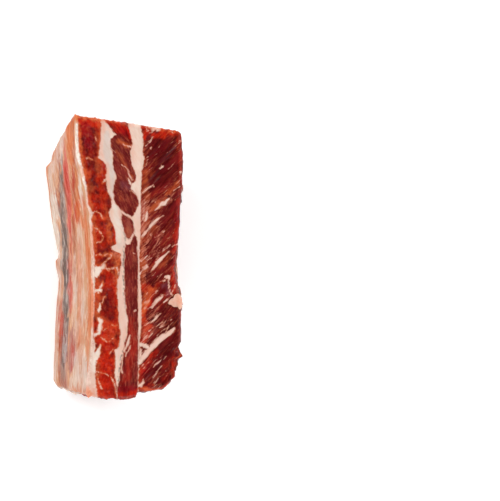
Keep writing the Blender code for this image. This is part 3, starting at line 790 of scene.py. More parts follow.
class Points:
    """The points of a piece: shares, place in millimetres, distances from the faces, pixels as seen and as
    strayed, place across and along the outer muscle's fibres, and how far past each edge of the tissues
    they lie."""

    def __init__(self, u, w, x, y, z, walls, ragged):
        self.u, self.w = u, w
        self.x, self.y, self.z = x, y, z
        self.walls = [wall + CENTRE_X for wall in walls]
        self.inner = x - self.walls[0]
        self.outer = self.walls[-1] - x
        self.depth = (1 - w) * HEIGHT
        self.rise = w * HEIGHT
        self.from_near = u * LENGTH
        self.from_far = (1 - u) * LENGTH
        self.px, self.py = photo_pixel(x, y, z)
        self.across = x * math.sin(FIBRE_ACROSS) - y * math.cos(FIBRE_ACROSS)
        self.course = x * math.cos(FIBRE_ACROSS) + y * math.sin(FIBRE_ACROSS)
        self.near_top = smooth(1 - self.depth / EDGE_DEPTH)
        self.streaky = smooth(1 - self.depth / STREAK_DEPTH)
        self.stray(ragged / FULL_STRAY)
        self.pass_edges()
        self.patch = outer_patches(self)
        self.cap = np.minimum(self.patch, 0.9 - self.outer)

    def noise(self, a, b, c, seed, layers=0):
        """Noise over x, y and z with these lengths in millimetres, layered where layers are asked for."""
        place = (self.x / a, self.y / b, self.z / c)
        return layered_noise(*place, seed, layers) if layers else noise(*place, seed)

    def side_noise(self, a, b, c, seed, layers=0):
        """The same over y, z and x, for what runs along the sides."""
        place = (self.y / a, self.z / b, self.x / c)
        return layered_noise(*place, seed, layers) if layers else noise(*place, seed)

    def stray(self, amount):
        """Sets the pixels where the tissues are looked up: those seen, strayed by noise."""
        px, py, z = self.px, self.py, self.z
        stray_x = 0.55 * noise(px / 3.1, py / 3.3, z / 3, 11) + 0.3 * noise(px / 1.3, py / 1.4, z / 2, 12)
        self.stray_x = px + stray_x * amount
        self.stray_y = py + 0.8 * noise(px / 3.3, py / 3.0, z / 3, 13) * amount

    def pass_edges(self):
        """Sets how far past each edge a point lies, in millimetres: by the photograph's edges on the upper
        cut face, and by the solids' layers with a wander of their own below it."""
        wander = 1.5 * self.side_noise(19, 12, 40, 14) + 0.7 * self.side_noise(6, 5, 12, 15)
        wander = wander + 0.3 * self.side_noise(2.2, 2, 6, 16)
        self.past = []
        for number, edge in enumerate(EDGES):
            seen = (self.stray_x - edge_at(edge, self.stray_y)) * PIXEL
            shift = -SKIN_DEPTH if number == 0 else wander * (0.5 if number == 1 else 1.0)
            self.past.append(mix(self.x - self.walls[number] + shift, seen, self.near_top))
        _, rib, fat_in, middle, seam, muscle = self.past
        self.in_outer = smooth(muscle / 1.5)
        self.in_middle = smooth(middle) * smooth(-seam)
        self.in_rib = smooth(rib / 0.8) * smooth(-fat_in / 0.8)
        self.plain = self.within(PLAIN_AREAS, 8)

    def within(self, lines, softness):
        """Share of each point that lies in these areas of the upper cut face."""
        return smooth(0.5 + inside_lines(self.stray_x, self.stray_y, lines) / softness) * self.near_top


def sheets(p, pitch, seed):
    """Sheets of fat between fibre bundles: near 0 on a sheet. Noise that is short across the fibres and
    long along them and through the rib."""
    bend = 0.8 * p.noise(14, 14, 12, seed + 1)
    return noise(p.across / pitch + bend, p.course / (pitch * 6), p.z / (pitch * 4.5) + bend, seed)


def outer_patches(p):
    """The thin fat left on the outer side: above 0 where there is some, in millimetres from its torn
    edge."""
    bend = 5 * p.side_noise(16, 12, 30, 48) + 1.6 * p.side_noise(5, 4, 30, 55)
    course = p.y * 0.9 + p.z * 0.44 + bend
    across = p.z * 0.9 - p.y * 0.44 - 0.6 * bend
    broad = noise(course / 24, across / 13, p.x / 40, 41) * 5
    torn = layered_noise(course / 10, across / 2.6, p.x / 30, 42, layers=5) * 4.2
    return broad + torn - 1.3 - 6 * smooth(1 - (p.depth - 0.8) / 3.2)


def drawn_lines(p):
    """The photograph's white lines near the upper cut face, as pixels inside them: bent by noise, feathered
    along the fibres of the outer muscle, and broken up in the rib meat."""
    shallow = p.streaky > 0
    x, y = p.stray_x, p.stray_y
    bent_x = (x + noise(x / 5.5, y / 5.5, p.z / 5, 17))[shallow]
    bent_y = (y + noise(x / 5.5, y / 5.5, p.z / 5, 18))[shallow]
    flat = 0 * bent_x
    feather = 0.75 * noise(p.across[shallow] / 0.42, p.course[shallow] / 2.6, flat, 20) - 0.2
    breaks = 1.3 * np.abs(noise(bent_x / 2.4, bent_y / 2.4, flat, 19))
    lines = np.full(x.shape, -99.0)
    lines[shallow] = np.maximum.reduce([
        inside_lines(bent_x, bent_y, [((*a, 0), (*b, 0)) for a, b in OUTER_LINES]) - FAINT,
        inside_lines(bent_x, bent_y, OUTER_STREAKS) + feather,
        inside_lines(bent_x, bent_y, MIDDLE_STREAKS),
        inside_lines(bent_x, bent_y, RIB_MEAT_BITS) - 0.6 * breaks + 0.1,
        inside_lines(bent_x, bent_y, RIB_MEAT_VEINS) + 0.12 - breaks,
    ])
    return lines


def white_tissue(p):
    """Millimetres inside white tissue: the layers of fat, the photograph's lines, the threads and sheets
    between the fibre bundles, the veins of the rib meat, and the fat left on the outer side."""
    cut, rib, fat_in, middle, seam, muscle = p.past
    torn_up = 0.5 * smooth(0.5 + 1.5 * p.noise(3, 3, 4, 49)) + 0.6 * smooth(1 - p.outer / 4)
    threads = (0.07 - np.abs(sheets(p, 2.3, 27))) * 2.3 - THREAD_DEPTH - 0.9 * p.plain - torn_up
    strength = smooth(0.5 + 1.4 * p.noise(9, 11, 9, 23))
    sheet_fat = (0.11 * strength - np.abs(sheets(p, 4.6, 21))) * 4.6
    veins = (0.05 * strength - np.abs(p.noise(5, 6, 5, 24, 2))) * 5
    return np.maximum.reduce([
        np.minimum(cut + 0.1, -rib), np.minimum(fat_in, -middle), np.minimum(seam, -muscle),
        drawn_lines(p) * PIXEL - 1.6 * (1 - p.streaky),
        threads - 3 * (1 - p.in_outer),
        sheet_fat * (1 - p.near_top) - 3 * (1 - p.in_outer) - 2 * p.near_top,
        veins - 3 * (1 - p.in_rib) - 2.5 * p.near_top,
        p.cap,
    ])


def meat_colour(p, colours, white):
    """Red meat in the outer muscle, brown in the middle one and coarse beside the rib, with the
    photograph's washes on the upper cut face, orange rims at the saw cuts, and painted shade on the sides
    and ends that also stands for their darker dried surface. Sets the rims and the painted shade of the
    sides."""
    fat_in, muscle = p.past[2], p.past[5]
    tone = p.noise(5, 6, 5, 31, 3)
    blotches = p.noise(2.4, 3, 2.4, 32, 3)
    bundles = layered_noise(p.across / 3.2, p.course / 14, p.z / 6, 34)
    brown = coated(colours, "brown", ("deep", smooth(0.3 + 1.1 * blotches) * 0.6))
    coarse = coated(
        colours, "coarse",
        ("bright", smooth(0.1 + 1.8 * tone) * 0.45),
        ("deep", smooth(0.1 - 2.0 * tone) * 0.8),
        ("bright", smooth(1.6 * blotches) * 0.35),
        ("deep", smooth(-0.2 - 1.8 * blotches) * 0.6),
        ("orange", smooth(1 + white) * smooth(0.5 + 0.9 * blotches) * 0.6),
    )
    meat = coated(
        colours, "red",
        ("deep", smooth(0.5 + 1.1 * bundles) * 0.9),
        ("coarse", smooth(-0.2 - 1.2 * bundles) * 0.5 * (1 - 0.8 * p.plain)),
        ("coarse", smooth(1 - p.outer / 1.6) * smooth(0.6 + tone) * 0.35),
        ("orange", smooth(1 - muscle / 1.6) * 0.25),
        (brown, smooth(0.5 - muscle)),
        (coarse, smooth(0.5 - fat_in)),
    )
    edge = np.minimum(p.outer, p.from_near)
    end = np.minimum(p.from_near, p.from_far)
    below = p.depth + rounded(edge, ROUND_EDGE) + 0.7 * tone + 0.5 * blotches
    on_face = p.near_top * (1 - smooth((below - 0.9) / 1.3) * smooth(1.4 - np.minimum(p.outer, end)))
    fray = 0.8 * blotches
    meat = washed(meat, FACE_WASHES, p.stray_x, p.stray_y, colours, on_face, softness=1.9, fray=fray)
    near_rim = 0.4 * smooth(1.2 - p.from_near / 1.2) * smooth(1.9 - below / 1.4)
    far_rim = smooth(1.3 - p.from_far / 1.9) * smooth(1.1 - below / 1.2)
    p.rim = np.maximum(near_rim, far_rim) * smooth(0.7 + blotches)
    lip = smooth(1.1 - p.outer / 1.3) * smooth(1.9 - below / 1.2)
    bent = smooth(1.2 - edge / 2) * smooth((below - 0.3) / 1.2)
    strands = layered_noise(p.across / 1.5, p.course / 7, p.z / 2.6, 59)
    lower = smooth((below - 1.6) / 1.8)
    on_side = smooth(1 - p.outer / 2.5) * lower
    film = smooth(1 + p.patch / 2.4) * smooth(1 - p.outer)
    # Painted shade: the uncut sides and ends are darkened as though the lamps left them in shade, which also
    # stands for the darker dried surface of real beef
    p.shade = (1 - PAINTED_SIDE_SHADE * np.maximum(on_side, smooth(1 - end / 2) * lower))[:, None]
    return p.shade * coated(
        colours, meat,
        ("bright", smooth(1 - end / 2) * 0.45 * smooth(0.4 + tone)),
        ("orange", p.rim * 0.65),
        ("coarse", lip * 0.5),
        ("bright", lip * smooth(1.4 * blotches) * 0.5),
        ("deep", bent * smooth(0.25 + 1.6 * strands) * 0.8),
        # Painted shade on the sides, as well as their darker dried surface: a deep tint along the fibre
        # bundles
        ("deep", on_side * smooth(0.5 + 1.2 * bundles) * 0.7),
        ("thread", film * smooth(0.3 + p.side_noise(9, 1.3, 9, 56, 3)) * 0.6),
    )


def fat_colour(p, colours):
    """Cream to rosy fat with the photograph's washes, thin and streaked on the outer side, orange at the
    rims, and dark pores along the far side of the inner fat."""
    pale = p.noise(3.5, 8, 5, 33, 3)
    fat = coated(
        colours, "cream",
        ("rosy", smooth(0.2 + 0.9 * pale) * 0.55),
        ("white", smooth(-0.1 - 0.9 * pale) * 0.6),
    )
    fat = washed(fat, FAT_WASHES, p.stray_x, p.stray_y, colours, p.near_top, softness=1.4)
    side = smooth(1 - p.outer / 1.5)
    blotch = p.side_noise(11, 6, 9, 35, 4)
    strand = p.side_noise(16, 1.6, 9, 45, 3)
    thin = smooth(1.2 - p.patch / 2.6) * side
    pores = bump(p.past[3] + 0.45, 0.5) * smooth(0.3 + 3 * p.noise(0.7, 1.1, 1, 54)) * p.near_top
    pored = sum(bump(p.stray_y - at, half) for at, half in PORED) * pores
    # The fat on the sides and ends is darkened by the same painted shade, which also stands for their darker
    # dried surface
    return p.shade * coated(
        colours, fat,
        ("thread", thin * smooth(0.6 + blotch) * 0.8),
        ("blush", thin * smooth(-0.1 + 1.2 * strand) * 0.5),
        ("mauve", side * smooth(-1.2 * blotch - 0.2) * 0.6),
        ("rosy", side * smooth(1.4 * strand) * 0.6),
        ("white", side * smooth(-1.4 * strand) * 0.7 * (1 - thin)),
        ("orange", p.rim * smooth(0.35 + pale) * 0.8),
        ("ink", np.clip(pored, 0, 1) * 0.9),
    )


def skin_colour(p, colours):
    """Skin: streams of tan, cream, amber and white along the rib, the photograph's washes, a fringe at its
    outline, and dark and pale grains in the grey streak."""
    sway = 0.035 * noise(p.y / 13, p.w * 6, 0 * p.y, 46) + 0.012 * noise(p.y / 4, p.w * 20, 0 * p.y, 47)
    level = p.w + sway
    streaming = layered_noise(p.y / 34, level * 26, p.x / 40, 36, layers=4)
    finer = layered_noise(p.y / 15, level * 70, p.x / 40, 37)
    skin = coated(
        colours, "skin",
        ("tan", smooth(1.3 * streaming) * 0.65),
        ("cream", smooth(-1.3 * streaming - 0.1) * 0.6),
        ("amber", smooth(1.8 * finer - 0.3) * mix(0.2, 0.42, smooth((p.w - 0.1) / 0.2))),
        ("white", smooth(-1.8 * finer - 0.35) * 0.5),
    )
    drift = 0.9 * noise(p.y / 9, level * 12, p.z / 30, 38) + 0.7 * noise(p.y / 2.4, level * 30, p.z / 30, 44)
    visible = smooth((p.w - 0.05) / 0.1)
    fray = 1.1 * layered_noise(p.y / 11, level * 62, p.x / 40, 53)
    torn_ends = 7 * noise(level * 60, p.y / 40, p.x / 40, 57) + 4 * noise(level * 170, p.y / 25, p.x / 40, 58)
    skin = washed(skin, SKIN_WASHES, p.px + drift, p.py + torn_ends, colours, visible, fray=fray, stretch=3)
    fringe = smooth(1.1 - (p.px - edge_at(BONE_SIDE_OUTLINE, p.py)) / 3) * smooth((p.w - 0.06) / 0.08)
    beyond = smooth((p.py - AMBER_FRINGE) / 16) * (1 - bump(p.py - PALE_FRINGE, 20))
    grizzle = layered_noise(p.y / 10, level * 46, p.x / 9, 39, layers=5)
    within = inside_line(p.px + drift, p.py, GREY_STREAK) + 0.5 * fray
    mottled = smooth(0.5 + within) * visible
    core = smooth((within - 0.5) / 2 + 1.6 * grizzle) * mottled
    skin = coated(
        colours, skin,
        ("amber", fringe * bump(p.py - AMBER_FRINGE, 16) * 0.9),
        ("thread", fringe * beyond * 0.25),
    )
    return coated(
        colours, skin * SKIN_SHADE,
        ("ink", core * 0.62),
        ("cool", mottled * smooth(-0.2 - 2 * grizzle) * 0.4),
    )


def bone_tissue(p, colours, rim):
    """Sawn bone: the hard rim takes the place of white tissue, and the porous middle that of meat."""
    porous = p.noise(2.2, 3, 2.2, 43, 3)
    middle = coated(
        colours, "marrow",
        ("bone", smooth(0.1 + 0.9 * porous) * 0.45),
        ("deep", smooth(-0.3 - 0.9 * porous) * 0.5),
    )
    return 0.5 * porous - rim, middle, coated(colours, "bone", ("cream", smooth(0.5 + porous) * 0.6))


def fibre_courses(p):
    """Millimetres across, along and down the fibres, those along them shortened: for the slanting fibres of
    the outer muscle, and for the fibres, lobes, grains or skin that each point has."""
    cut, _, fat_in, _, _, muscle = p.past
    bend = 0.9 * p.noise(7, 7, 7, 51) + 2.0 * p.noise(22, 22, 18, 52)
    across = p.x + 0.3 * bend
    slanted = (p.across + bend, p.course / 7, p.z / 2.2)
    lengthwise = (across, p.y / 5 - p.x * 0.1, p.z / 1.6)
    lobed = (p.x * 0.85 + p.y * 0.53 + bend, (p.x * 0.53 - p.y * 0.85) / 5, p.z / 1.6)
    own = np.where((p.py < LOBES_END) & (p.near_top > 0.5), lobed, lengthwise)
    own = np.where(muscle > -0.7, slanted, own)
    own = np.where(fat_in < 0.5, (across, p.y / 1.5, p.z), own)
    own = np.where(cut < 0, (p.rise, p.y / 9, p.x / 9), own)
    return slanted, own.T


def cut_relief(p, surface, slanted, white):
    """Relief of the cut faces in millimetres: ridges along the outer muscle's fibres, lobes in the middle
    muscle, grains in the rib meat, and fat that stands a little proud."""
    across, course, down = slanted
    ridges = (0.65 * noise(across / 1.5, course / 1.6, down / 1.5, 61)
              + 0.35 * noise(across / 0.8, course / 1.1, down, 62)
              + 0.8 * noise(across / 4.5, course / 3, down / 3, 63))
    grains = 0.7 * p.noise(1.5, 1.9, 1.5, 64) + 0.5 * p.noise(0.9, 1, 0.9, 65) + 0.6 * p.noise(4, 5, 4, 66)
    lobes = 0.6 * p.noise(1.2, 6, 2, 67) + 0.5 * p.noise(3, 9, 5, 68)
    of_fibres = (ridges * p.in_outer + lobes * 0.7 * p.in_middle) * surface.fibre_relief
    of_meat = (of_fibres + grains * surface.grain_relief * smooth(0.5 - p.past[2] / 0.8)) / MM
    of_fat = surface.fat_rise / MM + 0.1 * p.noise(2.6, 5, 3, 69, 3)
    return mix(of_meat, of_fat, smooth(0.5 + white / 0.9))


def tissue(p, surface, colours, bone_rim=None):
    """What every point is made of: the attributes of its finish, its relief in millimetres, and its share
    of skin."""
    cut, rib, fat_in = p.past[:3]
    white = white_tissue(p)
    meat = meat_colour(p, colours, white)
    on_skin = smooth(0.5 - cut / 0.5)
    outside = p.px < edge_at(CUT_EDGE, p.py)
    on_skin = np.where(outside, np.maximum(on_skin, smooth(1 - p.inner / 0.8)), on_skin)
    over_skin = smooth((MEAT_OVER_SKIN - p.stray_y) / 6) * smooth(0.35 + rib / 0.7) * p.near_top
    over_skin = over_skin * (p.x < p.walls[1] + 0.01) * (1 - on_skin)
    fat = coated(colours, fat_colour(p, colours), (skin_colour(p, colours), on_skin), (meat, over_skin))
    white = np.maximum(white, 2 * on_skin - 0.9)
    if bone_rim is not None:
        white, meat, fat = bone_tissue(p, colours, bone_rim)
    slanted, grain = fibre_courses(p)
    wet = 1 - 0.8 * p.within(SMOOTH_AREAS, 4)
    granular = np.maximum(smooth(0.5 - fat_in / 0.6), 0.25 * p.in_middle) * wet
    busy = mix(1 - 0.85 * p.plain + 1.2 * p.within(BUSY_AREAS, 6), 1.3, p.in_middle) * wet
    attributes = {
        "white": white, "meat": meat, "fat": fat, "grain": grain, "granular": granular, "busy": busy,
    }
    return attributes, cut_relief(p, surface, slanted, white), on_skin


def pushed(p, relief, on_skin):
    """Moves the points along the faces' outward directions by the relief, which fades out a little way
    inside. The outer side, the bone side and the near end also follow the photograph's outline, and the
    outer side stands proud where fat is left on it."""
    top = smooth(1 - p.depth / 2.2)
    base = smooth(1 - p.rise / 2.2)
    outward = smooth(1 - p.outer / 2) * (1 - 0.6 * top)
    inward = smooth(1 - p.inner / 1.2) * (1 - 0.6 * top)
    near = smooth(1 - p.from_near / 2.2)
    far = smooth(1 - p.from_far / 2.2)
    by_near = smooth(1 - p.from_near / 9)
    by_far = smooth(1 - p.from_far / 4)
    low = bump(p.w - WIDEST_SHARE, 0.2)

    target, _ = face_place(edge_at(RIGHT_EDGE, p.py), 0)
    follow = np.clip(target - (p.x + p.outer), -3, 3) * smooth(1 - p.depth / 8) * smooth(1 - p.outer / 7)
    follow = follow * smooth(p.from_near / 5) * smooth(p.from_far / 3)
    widest, _ = photo_pixel(bone_side(p.u, WIDEST_SHARE) + CENTRE_X, p.y, WIDEST_SHARE * HEIGHT)
    slack = np.clip((edge_at(BONE_SIDE_OUTLINE, p.py) - widest) * PIXEL, -2.6, 1.6)
    bulge = slack * low * smooth(1 - p.inner / 4)
    _, ends_at = face_place(0, np.interp(p.px, *np.transpose(NEAR_OUTLINE)))
    short = np.clip(ends_at - (p.y - p.from_near), -4.4, 2.8) * by_near * smooth(1.2 - p.depth / 16)
    short = short * smooth((p.px - NEAR_OUTLINE_FROM) / 8) - 1.5 * bump(p.px - HEEL, 3.4) * low * by_near
    corner = 1.6 * smooth((FAR_TIP - p.px) / 3.4) * smooth(1.5 - p.depth / 9)
    corner = (corner - 0.35 * bump(p.px - FAR_DIP, 11)) * by_far

    proud = 0.55 * smooth(0.5 + p.cap / 0.5) + 0.5 * p.side_noise(6, 5, 9, 71)
    proud = proud + 0.35 * p.side_noise(2.1, 3.4, 5, 72)
    creases = layered_noise(p.y / 22, p.w * 24, p.x / 40, 73) * 0.45
    creases = creases + 0.12 * noise(p.y / 6, p.w * 70, 0 * p.z, 74)
    torn = np.maximum(0.0, layered_noise(p.x / 2, p.z / 3.4, p.y / 8, 75) - 0.05)
    hanging = smooth(1 - p.depth / 7)
    shreds = 0.35 * sum(bump(p.px - at, half) for at, half in NEAR_SHREDS) * hanging
    ragged = 1.5 * smooth(1 - p.outer / 1.5) * hanging * p.side_noise(1.2, 3, 9, 76)
    ragged = ragged * smooth((p.py - TORN_SIDE_FROM) / 15)
    x = p.x + follow + bulge + outward * (relief + proud) - inward * creases + ragged
    y = p.y + short + corner
    y = y + far * (0.8 * relief + 0.7 * torn) - near * (0.8 * relief + torn + 2 * shreds)
    z = p.z + top * relief * (1 - 0.7 * on_skin) + base * 0.3 * (1 + relief)
    return np.stack([x, y, z], axis=1) * MM


def stations(count, gathered):
    """Shares from 0 to 1, drawn towards both ends: between t and (1 - cos(pi t)) / 2."""
    t = np.linspace(0.0, 1.0, count + 1)
    return mix(t, (1 - np.cos(np.pi * t)) / 2, gathered)


def block_surface(us, vs, ws):
    """The skin of a block of stations, welded: the shares u, v, w of each of its points, and its faces,
    each four point numbers in the order that faces out."""
    shape = (len(us), len(vs), len(ws))
    on_skin = np.zeros(shape, bool)
    on_skin[[0, -1]] = True
    on_skin[:, [0, -1]] = True
    on_skin[:, :, [0, -1]] = True
    number = np.full(shape, -1)
    number[on_skin] = np.arange(on_skin.sum())
    iu, iv, iw = np.nonzero(on_skin)
    faces = []
    for axis in range(3):
        for end in (0, -1):
            side = np.take(number, end, axis=axis)
            quads = np.stack([side[:-1, :-1], side[1:, :-1], side[1:, 1:], side[:-1, 1:]], axis=-1)
            quads = quads.reshape(-1, 4)
            turned = (end == -1) != (axis == 1)
            faces.append(quads[:, ::-1] if turned else quads)
    return us[iu], vs[iv], ws[iw], np.concatenate(faces)


def new_object(name, data):
    made = bpy.data.objects.new(name, data)
    bpy.context.scene.collection.objects.link(made)
    return made


def made_mesh(name, points, faces, attributes):
    mesh = bpy.data.meshes.new(name)
    mesh.from_pydata(points.tolist(), [], faces)
    kinds = {"meat": "FLOAT_COLOR", "fat": "FLOAT_COLOR", "grain": "FLOAT_VECTOR"}
    for title, values in attributes.items():
        kind = kinds.get(title, "FLOAT")
        attribute = mesh.attributes.new(title, kind, "POINT")
        if kind == "FLOAT_COLOR":
            values = np.concatenate([values, np.ones((len(values), 1))], axis=1)
        field = {"FLOAT_COLOR": "color", "FLOAT_VECTOR": "vector", "FLOAT": "value"}[kind]
        attribute.data.foreach_set(field, np.ascontiguousarray(values, np.float32).ravel())
    mesh.shade_smooth()
    mesh.set_sharp_from_angle(angle=SHARP_FROM)
    return mesh


def layer_piece(context, name, layer, counts, slot, low=None, high=None):
    """A layer of the rib as one closed surface, with this many faces along, across and up: X goes from one
    boundary to the next with v, and w from low to high, each a share of the height that may vary with v."""
    surface = context.scene.short_rib_surface
    vs = stations(counts[1], 0.0)
    if layer == LAYER_COUNT - 1:
        vs = 1 - (1 - vs) ** GATHERED_OUTSIDE
    u, v, share, faces = block_surface(stations(counts[0], 0.3), vs, stations(counts[2], 0.5))
    w = mix(low(v) if low else 0.0, high(v) if high else 1.0, share)
    walls = boundaries(u, w)
    x, y, z = placed(mix(walls[layer], walls[layer + 1], v), u, w, walls)
    p = Points(u, w, x, y, z, walls, surface.raggedness / MM)
    rim = None
    if name == "rib_bone":
        oval = np.abs(2 * v - 1) ** BONE_OVAL + (np.abs(w - BONE_CENTRE) / BONE_HALF) ** BONE_OVAL
        rim = (1 - oval ** (1 / BONE_OVAL)) * 8 - 1.7
    attributes, relief, on_skin = tissue(p, surface, context.scene.short_rib_colours, rim)
    mesh = made_mesh(name + "_dressed", pushed(p, relief, on_skin), faces.tolist(), attributes)
    mesh.materials.append(skin_finish() if slot == "membrane" else tissue_finish(**FINISHES[slot]))
    piece = new_object(name + "_dressed", mesh)
    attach(piece, "root")
    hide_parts(name)
    return piece


class Nodes:
    """Short calls to build a material's nodes."""

    def __init__(self, name):
        self.material = bpy.data.materials.get(name) or bpy.data.materials.new(name)
        self.material.use_nodes = True
        self.tree = self.material.node_tree
        self.tree.nodes.clear()

    def add(self, kind, inputs=(), **settings):
        node = self.tree.nodes.new(kind)
        for title, value in settings.items():
            setattr(node, title, value)
        for title, value in dict(inputs).items():
            self.put(node.inputs[title], value)
        return node

    def put(self, socket, value):
        if isinstance(value, bpy.types.NodeSocket):
            self.tree.links.new(value, socket)
        else:
            socket.default_value = value

    def attribute(self, title, output="Fac"):
        return self.add("ShaderNodeAttribute", attribute_name=title).outputs[output]

    def math(self, operation, a, b=0.0, c=0.0):
        return self.add("ShaderNodeMath", {0: a, 1: b, 2: c}, operation=operation).outputs[0]

    def times(self, a, b):
        return self.math("MULTIPLY", a, b)

    def apart(self, value, middle=0.5):
        """How far a value is from the middle, below it as above it."""
        return self.math("ABSOLUTE", self.math("SUBTRACT", value, middle))

    def ramp(self, value, low, high, to_low=0.0, to_high=1.0):
        """From to_low at low to to_high at high, smoothly, and held beyond."""
        inputs = {"Value": value, "From Min": low, "From Max": high, "To Min": to_low, "To Max": to_high}
        return self.add("ShaderNodeMapRange", inputs, interpolation_type="SMOOTHSTEP").outputs[0]

    def noise(self, place, scale, detail=3.0, roughness=0.55, distortion=0.0):
        inputs = {
            "Vector": place, "Scale": scale, "Detail": detail, "Roughness": roughness,
            "Distortion": distortion,
        }
        return self.add("ShaderNodeTexNoise", inputs).outputs["Fac"]

    def cells(self, place, scale):
        return self.add("ShaderNodeTexVoronoi", {"Vector": place, "Scale": scale}).outputs["Distance"]

    def blend(self, share, a, b, how="MIX"):
        """Colour from a to b by the share. A colour may be given as three numbers."""
        a, b = ((*c, 1.0) if isinstance(c, tuple) else c for c in (a, b))
        return self.add("ShaderNodeMix", {0: share, 6: a, 7: b}, data_type="RGBA", blend_type=how).outputs[2]

    def surface(self, shader):
        self.add("ShaderNodeOutputMaterial", {"Surface": shader.outputs["BSDF"]})
        return self.material


def tissue_finish(
    name, wet_roughness=0.28, fat_roughness=0.4, scatter=0.2, bump_strength=0.5, stain_reach=0.45, stain=0.5,
    coat=0.09, specular=0.16,
):
    """Raw tissue. White where the attribute says so, with an edge frayed by noise, and meat elsewhere. Meat
    is streaked along its fibres and mottled where it is granular, and turns orange where fat thins out over
    it."""
    nodes = Nodes(name)
    ramp, blend, times = nodes.ramp, nodes.blend, nodes.times
    colours = bpy.context.scene.short_rib_colours
    orange, thread = tuple(colours.orange), tuple(colours.thread)
    grain = nodes.attribute("grain", "Vector")
    busy = nodes.attribute("busy")
    inside = nodes.attribute("white")
    fray = nodes.noise(grain, 1.2, detail=5.0, roughness=0.7)
    frayed = nodes.math("MULTIPLY_ADD", nodes.math("SUBTRACT", fray, 0.5), 2.2, inside)
    is_white = times(ramp(frayed, -0.34, 0.36), ramp(inside, -0.1, 0.6, 0.72, 1.0))
    stained = ramp(frayed, -stain_reach, 0.0, 0.0, stain)

    fine = nodes.noise(grain, 1.25, detail=5.0, roughness=0.66, distortion=0.25)
    bundles = nodes.noise(grain, 0.5, detail=4.0, roughness=0.6, distortion=0.4)
    patches = nodes.noise(grain, 0.22, detail=2.0)
    ridge = nodes.apart(nodes.noise(grain, 0.8))
    threads = times(ramp(ridge, 0.0, 0.028, 1.0, 0.0), ramp(patches, 0.42, 0.6))
    specks = nodes.noise(grain, 0.55, detail=6.0, roughness=0.66)

    meat = nodes.attribute("meat", "Color")
    dark = blend(1.0, meat, (0.52, 0.22, 0.30), "MULTIPLY")
    lit = blend(0.38, meat, orange)
    paler = blend(ramp(busy, 0.6, 2.2, 0.0, 0.6), lit, thread)
    often = nodes.math("SUBTRACT", 0.54, times(busy, 0.025))
    shown = times(ramp(fine, often, nodes.math("ADD", often, 0.13)), ramp(busy, 0.0, 2.2, 0.25, 0.9))
    fibrous = blend(ramp(bundles, 0.58, 0.40, 0.0, 0.85), meat, dark)
    fibrous = blend(shown, fibrous, paler)
    fibrous = blend(times(threads, ramp(busy, 0.0, 2.2, 0.2, 0.9)), fibrous, paler)
    grained = blend(ramp(specks, 0.52, 0.38, 0.0, 0.6), meat, dark)
    grained = blend(ramp(nodes.cells(grain, 0.7), 0.30, 0.05, 0.0, 0.35), grained, lit)
    grained = blend(ramp(specks, 0.54, 0.70, 0.0, 0.7), grained, lit)
    lean = blend(stained, blend(nodes.attribute("granular"), fibrous, grained), orange)

    fat = nodes.attribute("fat", "Color")
    shade = blend(1.0, fat, (0.90, 0.72, 0.62), "MULTIPLY")
    fat = blend(ramp(bundles, 0.60, 0.34, 0.0, 0.3), fat, shade)
    fat = blend(ramp(fine, 0.52, 0.34, 0.0, 0.3), fat, shade)

    rough = blend(is_white, (wet_roughness,) * 3, (fat_roughness,) * 3)
    rough = nodes.math("MULTIPLY_ADD", nodes.math("SUBTRACT", specks, 0.5), 0.18, rough)
    height = times(nodes.math("ADD", fine, times(specks, 0.8)), 0.5)
    height = times(height, ramp(frayed, -0.2, 0.3, 1.0, 0.35))
    return moist(nodes, blend(is_white, lean, fat), rough, height, bump_strength, scatter, coat, specular)


def moist(nodes, colour, rough, height, bump_strength, scatter, coat, specular):
    """A moist surface that lets some light in: its colour, roughness and height joined."""
    relief = nodes.add("ShaderNodeBump", {"Strength": bump_strength, "Distance": 0.0006, "Height": height})
    return nodes.surface(nodes.add("ShaderNodeBsdfPrincipled", {
        "Base Color": colour, "Roughness": rough, "Normal": relief.outputs["Normal"], "IOR": 1.4,
        "Specular IOR Level": specular, "Subsurface Weight": scatter, "Subsurface Radius": (1.0, 0.35, 0.2),
        "Subsurface Scale": 0.0008, "Coat Weight": coat, "Coat Roughness": 0.09,
    }))


def skin_finish():
    """Skin: the colours of its washes, with fine pale and brown fibres along the rib, and a faint wet
    shine."""
    nodes = Nodes("Rib skin")
    ramp, blend = nodes.ramp, nodes.blend
    grain = nodes.attribute("grain", "Vector")
    broad = nodes.noise(grain, 0.5, detail=4.0, roughness=0.6, distortion=0.3)
    fine = nodes.noise(grain, 1.2, detail=5.0, roughness=0.68, distortion=0.3)
    skin = nodes.attribute("fat", "Color")
    shade = blend(1.0, skin, (0.80, 0.52, 0.40), "MULTIPLY")
    white = tuple(bpy.context.scene.short_rib_colours.white)
    bright = blend(0.10, blend(1.0, skin, (1.22, 1.26, 1.26), "MULTIPLY"), white)
    colour = blend(ramp(broad, 0.56, 0.38, 0.0, 0.4), skin, shade)
    colour = blend(ramp(fine, 0.50, 0.64, 0.0, 0.75), colour, bright)
    colour = blend(ramp(fine, 0.47, 0.34, 0.0, 0.6), colour, shade)
    colour = blend(ramp(nodes.apart(nodes.noise(grain, 1.1)), 0.0, 0.014, 0.4, 0.0), colour, bright)
    height = nodes.times(nodes.math("ADD", fine, broad), 0.6)
    return moist(nodes, colour, ramp(fine, 0.3, 0.7, 0.42, 0.28), height, 0.6, 0.2, coat=0.03, specular=0.06)


